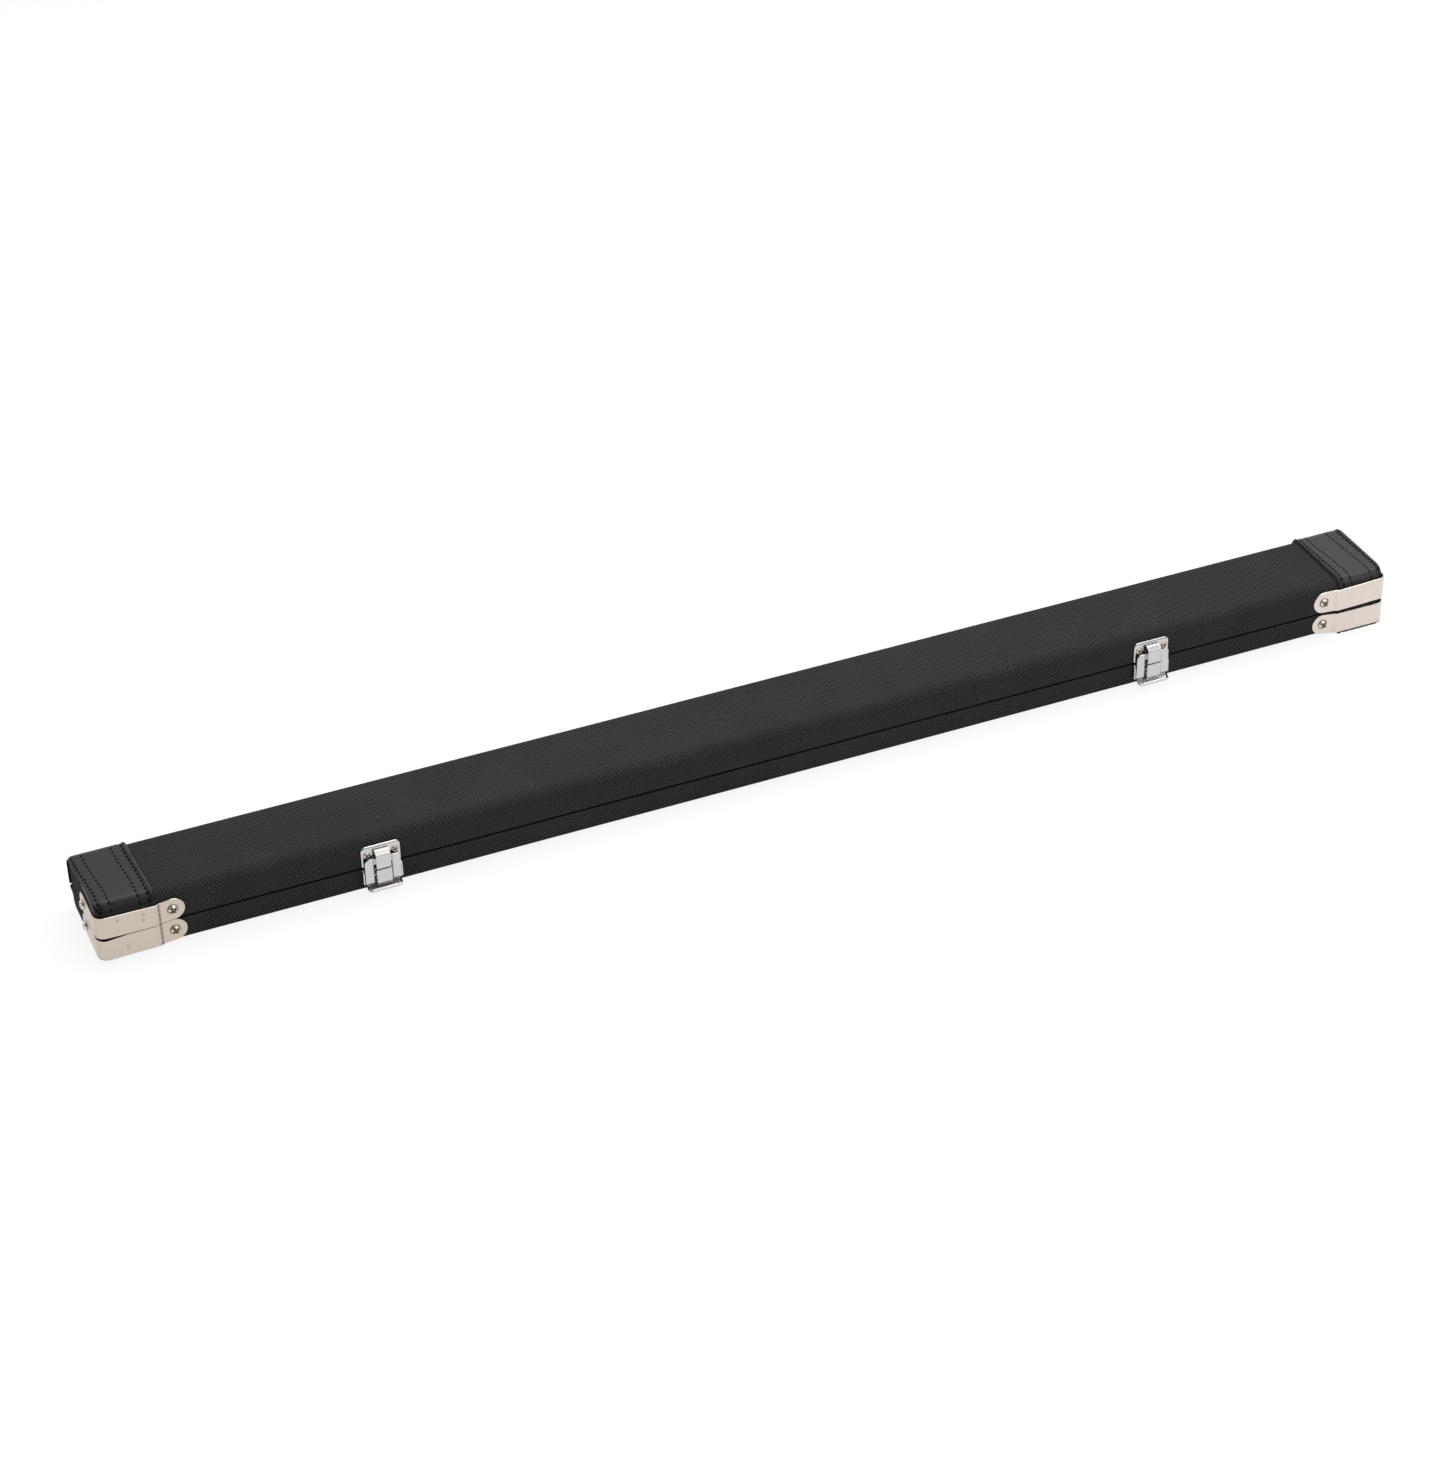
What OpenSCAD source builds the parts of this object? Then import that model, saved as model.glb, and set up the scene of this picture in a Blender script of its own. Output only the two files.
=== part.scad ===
// Hard case for a jointed billiard cue: a fabric-covered tray and lid with leather end
// bands, metal corner straps, two draw latches in front and three hinges behind.
// X runs along the case, Y from the latches to the hinges and Z upwards.
// The origin is on the resting plane, below the middle of the case.

/* [Case] */
// Length over the fabric ends
case_l = 1231; // [1150:1:1300]
// Width over the fabric sides
case_w = 86; // [80:0.5:95]
// Height of the closed case over its fabric
case_h = 52.5; // [51:0.5:58]
// Height of the base over its fabric
base_h = 23.7; // [23:0.1:26]
// Rounding of the long top edges of the lid
lid_round = 10.5; // [8:0.5:11]
// Rounding of the long bottom edges of the base
base_round = 6; // [5.5:0.5:8]
// Rounding of the upright corners in front
corner_round = 10; // [8:0.5:12]
// Rounding of the upright corners behind
back_round = 6; // [5.5:0.5:8]
// Thickness of the board that the shells are made of
board_t = 4; // [3:0.25:4.25]
// Thickness of the woven cover
cover_t = 0.8; // [0.5:0.1:1]
// Gap between the lid and the base
part_gap = 0.5; // [0.3:0.1:0.8]

/* [End bands] */
// Thickness of the leather
band_t = 1.8; // [1.4:0.1:2]
// Width of the left band
band_left_w = 50; // [40:1:60]
// Width of the right band
band_right_w = 49; // [40:1:60]
// Set-back of the bands from the ends of the case
band_inset = 0.5; // [0.5:0.1:2]

/* [Corner straps] */
// Thickness of the strap metal
strap_t = 1.2; // [0.8:0.1:1.5]
// Height of a strap
strap_h = 21.3; // [18:0.1:21.5]
// Gap between the straps of the lid and of the base
strap_gap = 2.4; // [1.5:0.1:4]
// Inside radius of the bend round the corner
strap_bend = 7; // [6:0.5:7]
// Length of the leg on the end of the case
strap_end_l = 49; // [40:1:55]
// Reach of the front tab past the edge of the band
strap_tab_l = 26; // [24:0.5:32]

/* [Latches] */
// Distance of the left latch from the middle
latch_left_x = 368; // [250:1:450]
// Distance of the right latch from the middle
latch_right_x = 370; // [250:1:450]
// Width of the plates on the lid and on the base
latch_w = 35; // [35:0.5:40]
// Width of the claw and of the lever's tongue
claw_w = 14; // [13.6:0.1:15]
// Width of the claw plate over its wings
wing_w = 32; // [30:0.1:32]
// Width of the finger lip
lip_w = 31; // [24:0.2:32]
// Thickness of the latch metal
latch_t = 1.2; // [1:0.1:1.2]

/* [Hinges] */
// Distance of the outer hinges from the middle
hinge_x = 450; // [300:5:520]
// Width of a hinge
hinge_w = 44; // [36:1:60]
// Thickness of a leaf
leaf_t = 1.6; // [1.2:0.1:2]
// Height of a leaf under or over the parting line
leaf_h = 17; // [15:0.5:20]
// Radius of a knuckle
knuckle_r = 3.6; // [3.2:0.1:3.8]

/* [Lining] */
// Radius of the channel for the shaft
shaft_r = 12.5; // [10:0.5:13]
// Radius of the channel for the butt
butt_r = 15.5; // [14:0.5:16]
// Length of the compartment for the butt
butt_l = 452; // [380:1:480]
// Length of the compartment for the extension
extension_l = 438; // [300:5:450]
// Thickness of the pad in the lid
pad_t = 6; // [4:0.5:7]

/* [Screws] */
// Radius of a strap screw's head
strap_head_r = 4.4; // [3.5:0.1:5]
// Radius of a latch screw's head
latch_head_r = 3.1; // [2.5:0.1:3.2]
// Radius of a hinge screw's head
hinge_head_r = 3; // [2.5:0.1:3.5]

/* [Hidden] */
$fn = 48;
half_l = case_l / 2;
half_w = case_w / 2;
floor_z = band_t;
part_z = floor_z + base_h;
top_z = floor_z + case_h;
base_top = part_z - part_gap / 2;
lid_low = part_z + part_gap / 2;
wall = cover_t + board_t;
end_x = half_l - corner_round;
base_edge_y = half_w - base_round;
lid_edge_y = half_w - lid_round;
over = 2;
base_strap_z = part_z - strap_gap / 2 - strap_h / 2;
lid_strap_z = part_z + strap_gap / 2 + strap_h / 2;
strap_face = half_w + band_t;
step_lead = 0.4;
step_run = 1.8;
end_tab_y = strap_end_l - strap_face - strap_t - strap_h / 2;
strap_shank_r = 1.9;
latch_shank_r = 1.4;
fit = 0.2;
pin_fit = 0.05;
grip = wall - 0.4;
keeper_low = 1.2;
keeper_wrap = 17;
keeper_round_h = top_z - lid_round - part_z;
keeper_screw_x = 12.6;
keeper_screw_h = 13.5;
ledge_u = 4;
ledge_h = 12;
ledge_w = 10.8;
wing_u = 4.4;
wing_top = 12.3;
wing_low = -14.2;
tongue_gap = 1;
claw_face = 8.6;
claw_low = 1.2;
claw_cheek_low = 4.6;
claw_bite = ledge_h + 0.4;
claw_top = 17.4;
pivot_u = 3.4;
lever_pivot_h = -1.3;
claw_pivot_h = -6.8;
pivot_r = 1.9;
latch_pin_r = 1.1;
lug_x = 4.3;
tongue_top = 0.3;
tongue_low = -15.4;
lip_reach = 9.2;
lip_r = 3.4;
base_plate_top = -0.6;
base_plate_low = -16.5;
base_screw_x = 13;
base_screw_h = -9;
flange_u = 4;
hinge_reach = lip_reach;
hinge_axis = hinge_reach - knuckle_r;
hinge_pin_r = 1.75;
hinge_pin_head = 1;
hinge_screw_h = 10.5;
leaf_gap = 3.6;
knuckle_half = hinge_w / 6;
liner_z = floor_z + wall;
liner_top = base_top - 0.65;
channel_half = half_l - wall - 8.7;
channel_wall = 12;
middle_rib = 5.6;
rib = (case_w - 2 * wall - 2 * shaft_r - 2 * butt_r - middle_rib) / 2;
shaft_y = -half_w + wall + rib + shaft_r;
butt_y = half_w - wall - rib - butt_r;
butt_foam = 3.5;
shaft_z = liner_top;
butt_z = liner_z + butt_foam + butt_r;
pad_z = top_z - wall - pad_t;
pad_margin = lid_round - wall + 0.3;
pad_crown = 2;
pad_half_w = half_w - wall - pad_margin;
pad_crown_r = (pad_half_w ^ 2 + pad_crown ^ 2) / (2 * pad_crown);
fabric_tone = "#232326";
leather_tone = "#18181a";
board_tone = "#b99766";
nickel_tone = "#cfc6bb";
chrome_tone = "#d6d6d8";
brass_tone = "#c8a878";
plush_tone = "#2a2a30";

// A profile drawn in Y and Z, carried along X
module x_prism(from_x, to_x) {
    translate([from_x, 0, 0])
        rotate([90, 0, 90])
            linear_extrude(to_x - from_x)
                children();
}

// An outline drawn in X and Z, carried along Y
module y_prism(from_y, to_y) {
    translate([0, to_y, 0])
        rotate([90, 0, 0])
            linear_extrude(to_y - from_y)
                children();
}

// The rounded pair of long edges at one height of a cross-section
module edge_pair(w, z, r, low) {
    for (side = [-1, 1])
        translate([side * (w / 2 - r), z])
            circle(r);
    translate([r - w / 2, low])
        square([w - 2 * r, r]);
}

// Cross-section of a shell, with its low or high long edges rounded
module section(w, low, high, low_r, high_r) {
    translate([-w / 2, low + low_r])
        square([w, high - low - low_r - high_r]);
    if (low_r > 0)
        edge_pair(w, low + low_r, low_r, low);
    if (high_r > 0)
        edge_pair(w, high - high_r, high_r, high - high_r);
}

// The case seen from above, with its own radius for the front and for the back corners
module plan_outline(l, w, front_r, back_r) {
    translate([front_r - l / 2, -w / 2])
        square([l - 2 * front_r, w / 2]);
    translate([back_r - l / 2, 0])
        square([l - 2 * back_r, w / 2]);
    translate([-l / 2, front_r - w / 2])
        square([l, w - front_r - back_r]);
    for (x = [-1, 1]) {
        translate([x * (l / 2 - front_r), front_r - w / 2])
            circle(front_r);
        translate([x * (l / 2 - back_r), w / 2 - back_r])
            circle(back_r);
    }
}

// A half of the case, grown outwards from its fabric by the given amount
module half_block(grow, low, high, low_r, high_r) {
    intersection() {
        x_prism(-half_l - grow, half_l + grow)
            section(case_w + 2 * grow, low, high, low_r, high_r);
        translate([0, 0, low])
            linear_extrude(high - low)
                plan_outline(case_l + 2 * grow, case_w + 2 * grow, corner_round + grow, back_round + grow);
    }
}

module base_block(grow, high) {
    half_block(grow, floor_z - grow, high, base_round + grow, 0);
}

module lid_block(grow, low) {
    half_block(grow, low, top_z + grow, 0, lid_round + grow);
}

// The stretch of the case that one end band covers
module band_span(side) {
    w = side < 0 ? band_left_w : band_right_w;
    x = side < 0 ? band_inset - half_l : half_l - w;
    translate([x, -case_w, -case_h])
        cube([w - band_inset, 2 * case_w, 3 * case_h]);
}

// The strap's bent strip seen from above, at the front right corner
module strap_plan(band_w) {
    step_x = half_l - band_w - step_lead;
    tab_x = step_x - step_run;
    tip_x = half_l - band_w - strap_tab_l;
    translate([step_x, -strap_face - strap_t])
        square([half_l - strap_bend - step_x, strap_t]);
    translate([half_l - strap_bend, strap_bend - strap_face])
        intersection() {
            difference() {
                circle(strap_bend + strap_t);
                circle(strap_bend);
            }
            translate([0, -2 * strap_bend])
                square(2 * strap_bend);
        }
    translate([half_l, strap_bend - strap_face])
        square([strap_t, strap_end_l - strap_bend - strap_t]);
    polygon([[step_x, -strap_face - strap_t], [step_x, -strap_face],
        [tab_x, -half_w], [tab_x, -half_w - strap_t]]);
    translate([tip_x, -half_w - strap_t])
        square([tab_x - tip_x, strap_t]);
}

// A strip with one round end, running the other way for the given length
module tab_outline(run) {
    circle(strap_h / 2);
    translate([0, -strap_h / 2])
        square([run, strap_h]);
}

function strap_tab_x(band_w) = half_l - band_w - strap_tab_l + strap_h / 2;

// One bent strap round the front right corner, at the given height
module strap_form(band_w, z) {
    tab_x = strap_tab_x(band_w);
    difference() {
        intersection() {
            translate([0, 0, z - strap_h / 2])
                linear_extrude(strap_h)
                    strap_plan(band_w);
            y_prism(-case_w, case_w)
                translate([tab_x, z])
                    tab_outline(case_l);
            x_prism(0, case_l)
                translate([end_tab_y, z])
                    mirror([1, 0])
                        tab_outline(case_l);
        }
        translate([tab_x, -half_w, z])
            rotate([90, 0, 0])
                cylinder(r = strap_shank_r + fit, h = 3 * strap_t, center = true);
        translate([half_l, end_tab_y, z])
            rotate([0, 90, 0])
                cylinder(r = strap_shank_r + fit, h = 3 * strap_t, center = true);
    }
}

// Domed screw with a cross recess, its head standing on the XY plane
module dome_screw(head_r, head_h, shank_r, shank_l) {
    dome_r = (head_r ^ 2 + head_h ^ 2) / (2 * head_h);
    slot = [head_r * 1.1, head_r * 0.24, head_h];
    difference() {
        intersection() {
            translate([0, 0, head_h - dome_r])
                sphere(dome_r);
            cylinder(r = head_r, h = head_h);
        }
        for (turn = [45, 135])
            translate([0, 0, head_h])
                rotate([0, 0, turn])
                    cube(slot, center = true);
    }
    translate([0, 0, -shank_l])
        cylinder(r = shank_r, h = shank_l);
}

// The two screws of one strap
module strap_screw_pair(band_w, z) {
    translate([strap_tab_x(band_w), -half_w - strap_t, z])
        rotate([90, 0, 0])
            dome_screw(strap_head_r, strap_head_r / 2, strap_shank_r, grip + strap_t);
    translate([half_l + strap_t, end_tab_y, z])
        rotate([0, 90, 0])
            dome_screw(strap_head_r, strap_head_r / 2, strap_shank_r, grip + strap_t);
}

module strap_screws(z) {
    color(nickel_tone) {
        mirror([1, 0, 0])
            strap_screw_pair(band_left_w, z);
        strap_screw_pair(band_right_w, z);
    }
}

// A latch's own frame: X along the case, Y out of its front and Z up from the parting line
module at_latch(side) {
    translate([side < 0 ? -latch_left_x : latch_right_x, -half_w, part_z])
        mirror([0, 1, 0])
            children();
}

// Plate seen from the front, with its top or bottom corners rounded
module plate_outline(w, low, high, low_r, high_r) {
    section(w, low, high, low_r, high_r);
}

// Plate on the lid, bent back over the rounding, with the ledge that the claw bites on
module keeper_form() {
    difference() {
        union() {
            intersection() {
                x_prism(-latch_w / 2, latch_w / 2) {
                    translate([0, keeper_low])
                        square([latch_t, keeper_round_h - keeper_low]);
                    translate([-lid_round, keeper_round_h])
                        intersection() {
                            difference() {
                                circle(lid_round + latch_t);
                                circle(lid_round);
                            }
                            polygon([[0, 0], [2 * lid_round, 0],
                                2 * lid_round * [cos(keeper_wrap), sin(keeper_wrap)]]);
                        }
                }
                y_prism(-lid_round, lid_round)
                    plate_outline(latch_w, keeper_low, keeper_round_h + 5, 1, 5);
            }
            x_prism(-ledge_w / 2, ledge_w / 2)
                polygon([[0, 7], [latch_t, 7], [ledge_u, 9.6], [ledge_u, ledge_h], [0, ledge_h]]);
        }
        for (side = [-1, 1])
            translate([side * keeper_screw_x, 0, keeper_screw_h])
                rotate([90, 0, 0])
                    cylinder(r = latch_shank_r + fit, h = 4 * latch_t, center = true);
    }
}

// A round eye on a plate, with its bore on the given pivot height
module eye_profile(h, from_u, to_u) {
    translate([pivot_u, h])
        circle(pivot_r);
    translate([from_u, h - pivot_r])
        square([to_u - from_u, 2 * pivot_r]);
}

module pivot_bore(h) {
    translate([0, pivot_u, h])
        rotate([0, 90, 0])
            cylinder(r = latch_pin_r + pin_fit, h = latch_w, center = true);
}

// Plate with wings and a hollow claw in its middle, which hooks over the ledge
module claw_form() {
    ear_x = (claw_w + latch_t) / 2 + tongue_gap;
    difference() {
        union() {
            intersection() {
                x_prism(-wing_w / 2, wing_w / 2)
                    translate([wing_u, wing_low])
                        square([latch_t, wing_top - wing_low]);
                y_prism(0, claw_face)
                    plate_outline(wing_w, wing_low, wing_top, 1.5, 7);
            }
            x_prism(-claw_w / 2, claw_w / 2) {
                translate([claw_face - latch_t, claw_low])
                    square([latch_t, claw_bite - claw_low]);
                polygon([[latch_t + 0.5, claw_bite], [claw_face, claw_bite],
                    [claw_face, claw_top - 3], [claw_face - 3, claw_top], [latch_t + 0.5, claw_top]]);
            }
            for (side = [-1, 1]) {
                translate([side * (claw_w - latch_t) / 2, 0, 0])
                    x_prism(-latch_t / 2, latch_t / 2)
                        translate([wing_u, claw_cheek_low])
                            square([claw_face - wing_u, claw_bite - claw_cheek_low]);
                translate([side * ear_x, 0, 0])
                    x_prism(-latch_t / 2, latch_t / 2)
                        eye_profile(claw_pivot_h, pivot_u, wing_u);
            }
        }
        translate([-claw_w / 2 - tongue_gap, 0, wing_low - over])
            cube([claw_w + 2 * tongue_gap, wing_u + latch_t + fit, claw_cheek_low - wing_low + over]);
        translate([latch_t - claw_w / 2, 0, 0])
            cube([claw_w - 2 * latch_t, claw_face - latch_t, claw_bite]);
        pivot_bore(claw_pivot_h);
    }
}

// Tongue that fills the slot of the claw plate, with its cheeks, floor and finger lip
module lever_form() {
    x_prism(-claw_w / 2, claw_w / 2) {
        translate([claw_face - latch_t, tongue_low])
            square([latch_t, tongue_top - tongue_low]);
        translate([lip_reach - lip_r - latch_t, tongue_low - latch_t])
            square([claw_face - lip_reach + lip_r + latch_t, latch_t]);
    }
    for (side = [-1, 1])
        difference() {
            translate([side * (claw_w - latch_t) / 2, 0, 0])
                x_prism(-latch_t / 2, latch_t / 2) {
                    translate([wing_u, tongue_low])
                        square([claw_face - wing_u, tongue_top - tongue_low]);
                    translate([pivot_u - pivot_r, claw_pivot_h])
                        square([claw_face - pivot_u + pivot_r, lever_pivot_h - claw_pivot_h]);
                    for (h = [lever_pivot_h, claw_pivot_h])
                        translate([pivot_u, h])
                            circle(pivot_r);
                }
            pivot_bore(lever_pivot_h);
            pivot_bore(claw_pivot_h);
        }
    intersection() {
        x_prism(-lip_w / 2, lip_w / 2)
            translate([lip_reach, tongue_low - latch_t / 2])
                intersection() {
                    difference() {
                        circle(lip_r + latch_t);
                        circle(lip_r);
                    }
                    translate([-2 * lip_r, -2 * lip_r])
                        square(2 * lip_r);
                }
        y_prism(0, lip_reach)
            plate_outline(lip_w, tongue_low - latch_t * 1.5 - lip_r, tongue_low, 4, 0);
    }
}

// Channel-shaped plate on the base, with the two lugs of the lever's pivot
module latch_base_form() {
    difference() {
        union() {
            y_prism(0, latch_t)
                plate_outline(latch_w, base_plate_low, base_plate_top, 3, 1);
            for (side = [-1, 1]) {
                translate([side * (latch_w - latch_t) / 2, 0, 0])
                    x_prism(-latch_t / 2, latch_t / 2)
                        translate([0, base_plate_low + 3])
                            square([flange_u, base_plate_top - base_plate_low - 4]);
                translate([side * (lug_x + latch_t / 2), 0, 0])
                    x_prism(-latch_t / 2, latch_t / 2)
                        eye_profile(lever_pivot_h, latch_t / 2, pivot_u);
            }
        }
        pivot_bore(lever_pivot_h);
        for (side = [-1, 1])
            translate([side * base_screw_x, 0, base_screw_h])
                rotate([90, 0, 0])
                    cylinder(r = latch_shank_r + fit, h = 4 * latch_t, center = true);
    }
}

// The two screws that hold a latch plate
module latch_screw_pair(x, h, head_r) {
    for (side = [-1, 1])
        translate([side * x, latch_t, h])
            rotate([-90, 0, 0])
                dome_screw(head_r, head_r * 0.45, latch_shank_r, grip + latch_t);
}

module latch_pin(h, reach) {
    translate([-reach, pivot_u, h])
        rotate([0, 90, 0])
            cylinder(r = latch_pin_r, h = 2 * reach);
}

// A hinge's own frame: X along the case, Y out of its back and Z up from the parting line
module at_hinge(place) {
    translate([place * hinge_x, half_w, part_z])
        children();
}

// One leaf below the parting line, with its knuckle over the given spans
module leaf_form(spans) {
    difference() {
        union() {
            y_prism(0, leaf_t)
                plate_outline(hinge_w, -leaf_h, -leaf_gap, 3, 0);
            for (span = spans)
                x_prism(span[0], span[1]) {
                    polygon([[0, -leaf_gap - 2], [leaf_t, -leaf_gap - 2.4], [hinge_axis, -knuckle_r],
                        [hinge_axis, -1], [hinge_axis - knuckle_r + 0.6, -1.6], [0, -leaf_gap]]);
                    translate([hinge_axis, 0])
                        circle(knuckle_r);
                }
        }
        for (x = [-1, 0, 1])
            translate([x * hinge_w / 3, 0, -hinge_screw_h])
                rotate([90, 0, 0])
                    cylinder(r = latch_shank_r + fit, h = 4 * leaf_t, center = true);
        translate([-hinge_w, hinge_axis, 0])
            rotate([0, 90, 0])
                cylinder(r = hinge_pin_r + pin_fit, h = 2 * hinge_w);
    }
}

module hinge_base(place) {
    color(nickel_tone)
        at_hinge(place)
            leaf_form([[-hinge_w / 2, -knuckle_half - fit], [knuckle_half + fit, hinge_w / 2]]);
}

module hinge_lid(place) {
    color(nickel_tone)
        at_hinge(place)
            mirror([0, 0, 1])
                leaf_form([[-knuckle_half, knuckle_half]]);
}

// Pin with a flat head at each end of the knuckles
module hinge_pin(place) {
    color(nickel_tone)
        at_hinge(place)
            translate([0, hinge_axis, 0])
                rotate([0, 90, 0]) {
                    cylinder(r = hinge_pin_r, h = hinge_w, center = true);
                    for (side = [-1, 1])
                        translate([0, 0, side * (hinge_w + hinge_pin_head) / 2])
                            cylinder(r = hinge_pin_r + 0.8, h = hinge_pin_head, center = true);
                }
}

module hinge_screws(up) {
    color(nickel_tone)
        for (place = [-1, 0, 1], x = [-1, 0, 1])
            at_hinge(place)
                translate([x * hinge_w / 3, leaf_t, up * hinge_screw_h])
                    rotate([-90, 0, 0])
                        dome_screw(hinge_head_r, hinge_head_r * 0.4, latch_shank_r, grip + leaf_t);
}

// The tray and the lid of board, before they are parted into their panels
module base_shell() {
    difference() {
        base_block(-cover_t, base_top);
        base_block(-wall, base_top + over);
    }
}

module lid_shell() {
    difference() {
        lid_block(-cover_t, lid_low);
        lid_block(-wall, lid_low - over);
    }
}

// One panel: the part of a shell within the given spans of X and Y
module panel(from_x, to_x, from_y, to_y) {
    color(board_tone)
        intersection() {
            children();
            translate([from_x, from_y, -over])
                cube([to_x - from_x, to_y - from_y, 2 * case_h]);
        }
}

// Flat panel between the two long walls
module flat_panel(edge_y) {
    panel(-end_x, end_x, -edge_y, edge_y)
        children();
}

// Long wall with its rounded edge, in front or behind
module wall_panel(side, edge_y) {
    if (side < 0)
        panel(-end_x, end_x, -case_w, -edge_y)
            children();
    else
        panel(-end_x, end_x, edge_y, case_w)
            children();
}

// End panel with its two rounded corners
module end_panel(side) {
    if (side < 0)
        panel(-case_l, -end_x, -case_w, case_w)
            children();
    else
        panel(end_x, case_l, -case_w, case_w)
            children();
}

module base_cover() {
    color(fabric_tone)
        difference() {
            base_block(0, base_top);
            base_block(-cover_t, base_top + over);
        }
}

// Foam block with a full-length channel and three compartments beside it
module base_liner() {
    extension_x = butt_l - channel_half + channel_wall;
    pocket_x = extension_x + extension_l + channel_wall;
    color(plush_tone)
        difference() {
            base_block(-wall, liner_top);
            translate([-channel_half, shaft_y, shaft_z])
                rotate([0, 90, 0])
                    cylinder(r = shaft_r, h = 2 * channel_half);
            for (run = [[-channel_half, butt_l], [extension_x, extension_l]])
                translate([run[0], butt_y, butt_z])
                    rotate([0, 90, 0])
                        cylinder(r = butt_r, h = run[1]);
            translate([pocket_x, butt_y - butt_r, liner_z + butt_foam])
                cube([channel_half - pocket_x, 2 * butt_r, case_h]);
        }
}

module base_band(side) {
    color(leather_tone)
        intersection() {
            difference() {
                base_block(band_t, base_top);
                base_block(0, base_top + over);
            }
            band_span(side);
        }
}

module lid_cover() {
    color(fabric_tone)
        difference() {
            lid_block(0, lid_low);
            lid_block(-cover_t, lid_low - over);
        }
}

// Pad under the roof of the lid, crowned across its width
module lid_pad() {
    color(plush_tone)
        intersection() {
            translate([pad_margin + wall - half_l, -pad_half_w, pad_z])
                cube([case_l - 2 * wall - 2 * pad_margin, 2 * pad_half_w, pad_t]);
            translate([-half_l, 0, pad_z + pad_crown_r])
                rotate([0, 90, 0])
                    cylinder(r = pad_crown_r, h = case_l, $fn = 192);
        }
}

module lid_band(side) {
    color(leather_tone)
        intersection() {
            difference() {
                lid_block(band_t, lid_low);
                lid_block(0, lid_low - over);
            }
            band_span(side);
        }
}

module strap(side, z) {
    color(nickel_tone)
        if (side < 0)
            mirror([1, 0, 0])
                strap_form(band_left_w, z);
        else
            strap_form(band_right_w, z);
}

module keeper(side) {
    color(chrome_tone)
        at_latch(side)
            keeper_form();
}

module keeper_screws() {
    color(brass_tone)
        for (side = [-1, 1])
            at_latch(side)
                latch_screw_pair(keeper_screw_x, keeper_screw_h, latch_head_r);
}

module latch_base(side) {
    color(chrome_tone)
        at_latch(side)
            latch_base_form();
}

module latch_base_screws() {
    color(nickel_tone)
        for (side = [-1, 1])
            at_latch(side)
                latch_screw_pair(base_screw_x, base_screw_h, latch_head_r - 0.6);
}

module lever(side) {
    color(chrome_tone)
        at_latch(side)
            lever_form();
}

module lever_pin(side) {
    color(nickel_tone)
        at_latch(side)
            latch_pin(lever_pivot_h, claw_w / 2 + 0.4);
}

module claw(side) {
    color(chrome_tone)
        at_latch(side)
            claw_form();
}

module claw_pin(side) {
    color(nickel_tone)
        at_latch(side)
            latch_pin(claw_pivot_h, claw_w / 2 + tongue_gap + latch_t + 0.4);
}

flat_panel(base_edge_y) base_shell();  // base_floor
wall_panel(-1, base_edge_y) base_shell();  // base_wall_front
wall_panel(1, base_edge_y) base_shell();  // base_wall_back
end_panel(-1) base_shell();  // base_end_left
end_panel(1) base_shell();  // base_end_right
base_cover();
base_liner();
base_band(-1);  // base_band_left
base_band(1);  // base_band_right
strap(-1, base_strap_z);  // base_strap_left
strap(1, base_strap_z);  // base_strap_right
strap_screws(base_strap_z);  // base_strap_screws
latch_base(-1);  // latch_base_left
latch_base(1);  // latch_base_right
latch_base_screws();
lever_pin(-1);  // lever_pin_left
lever_pin(1);  // lever_pin_right
hinge_base(-1);  // hinge_base_left
hinge_base(0);  // hinge_base_middle
hinge_base(1);  // hinge_base_right
hinge_screws(-1);  // hinge_base_screws
hinge_pin(-1);  // hinge_pin_left
hinge_pin(0);  // hinge_pin_middle
hinge_pin(1);  // hinge_pin_right
flat_panel(lid_edge_y) lid_shell();  // lid_roof
wall_panel(-1, lid_edge_y) lid_shell();  // lid_wall_front
wall_panel(1, lid_edge_y) lid_shell();  // lid_wall_back
end_panel(-1) lid_shell();  // lid_end_left
end_panel(1) lid_shell();  // lid_end_right
lid_cover();
lid_pad();
lid_band(-1);  // lid_band_left
lid_band(1);  // lid_band_right
strap(-1, lid_strap_z);  // lid_strap_left
strap(1, lid_strap_z);  // lid_strap_right
strap_screws(lid_strap_z);  // lid_strap_screws
keeper(-1);  // keeper_left
keeper(1);  // keeper_right
keeper_screws();
hinge_lid(-1);  // hinge_lid_left
hinge_lid(0);  // hinge_lid_middle
hinge_lid(1);  // hinge_lid_right
hinge_screws(1);  // hinge_lid_screws
lever(-1);  // lever_left
lever(1);  // lever_right
claw_pin(-1);  // claw_pin_left
claw_pin(1);  // claw_pin_right
claw(-1);  // claw_left
claw(1);  // claw_right
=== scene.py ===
# %% [markdown]
# # A hard case for a jointed cue
# The case is a long slim box of board in two halves, covered with black woven nylon.
# Stitched leather bands wrap its ends, plated straps guard the front corners, and two
# draw latches hold it shut. The CAD part fixes every size and every joint. This lesson
# dresses it: each cell makes one kind of piece from a formula, and gives it a finish.

# %% Load the frame
import math

import bpy
import numpy as np
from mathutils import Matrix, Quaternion, Vector


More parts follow.
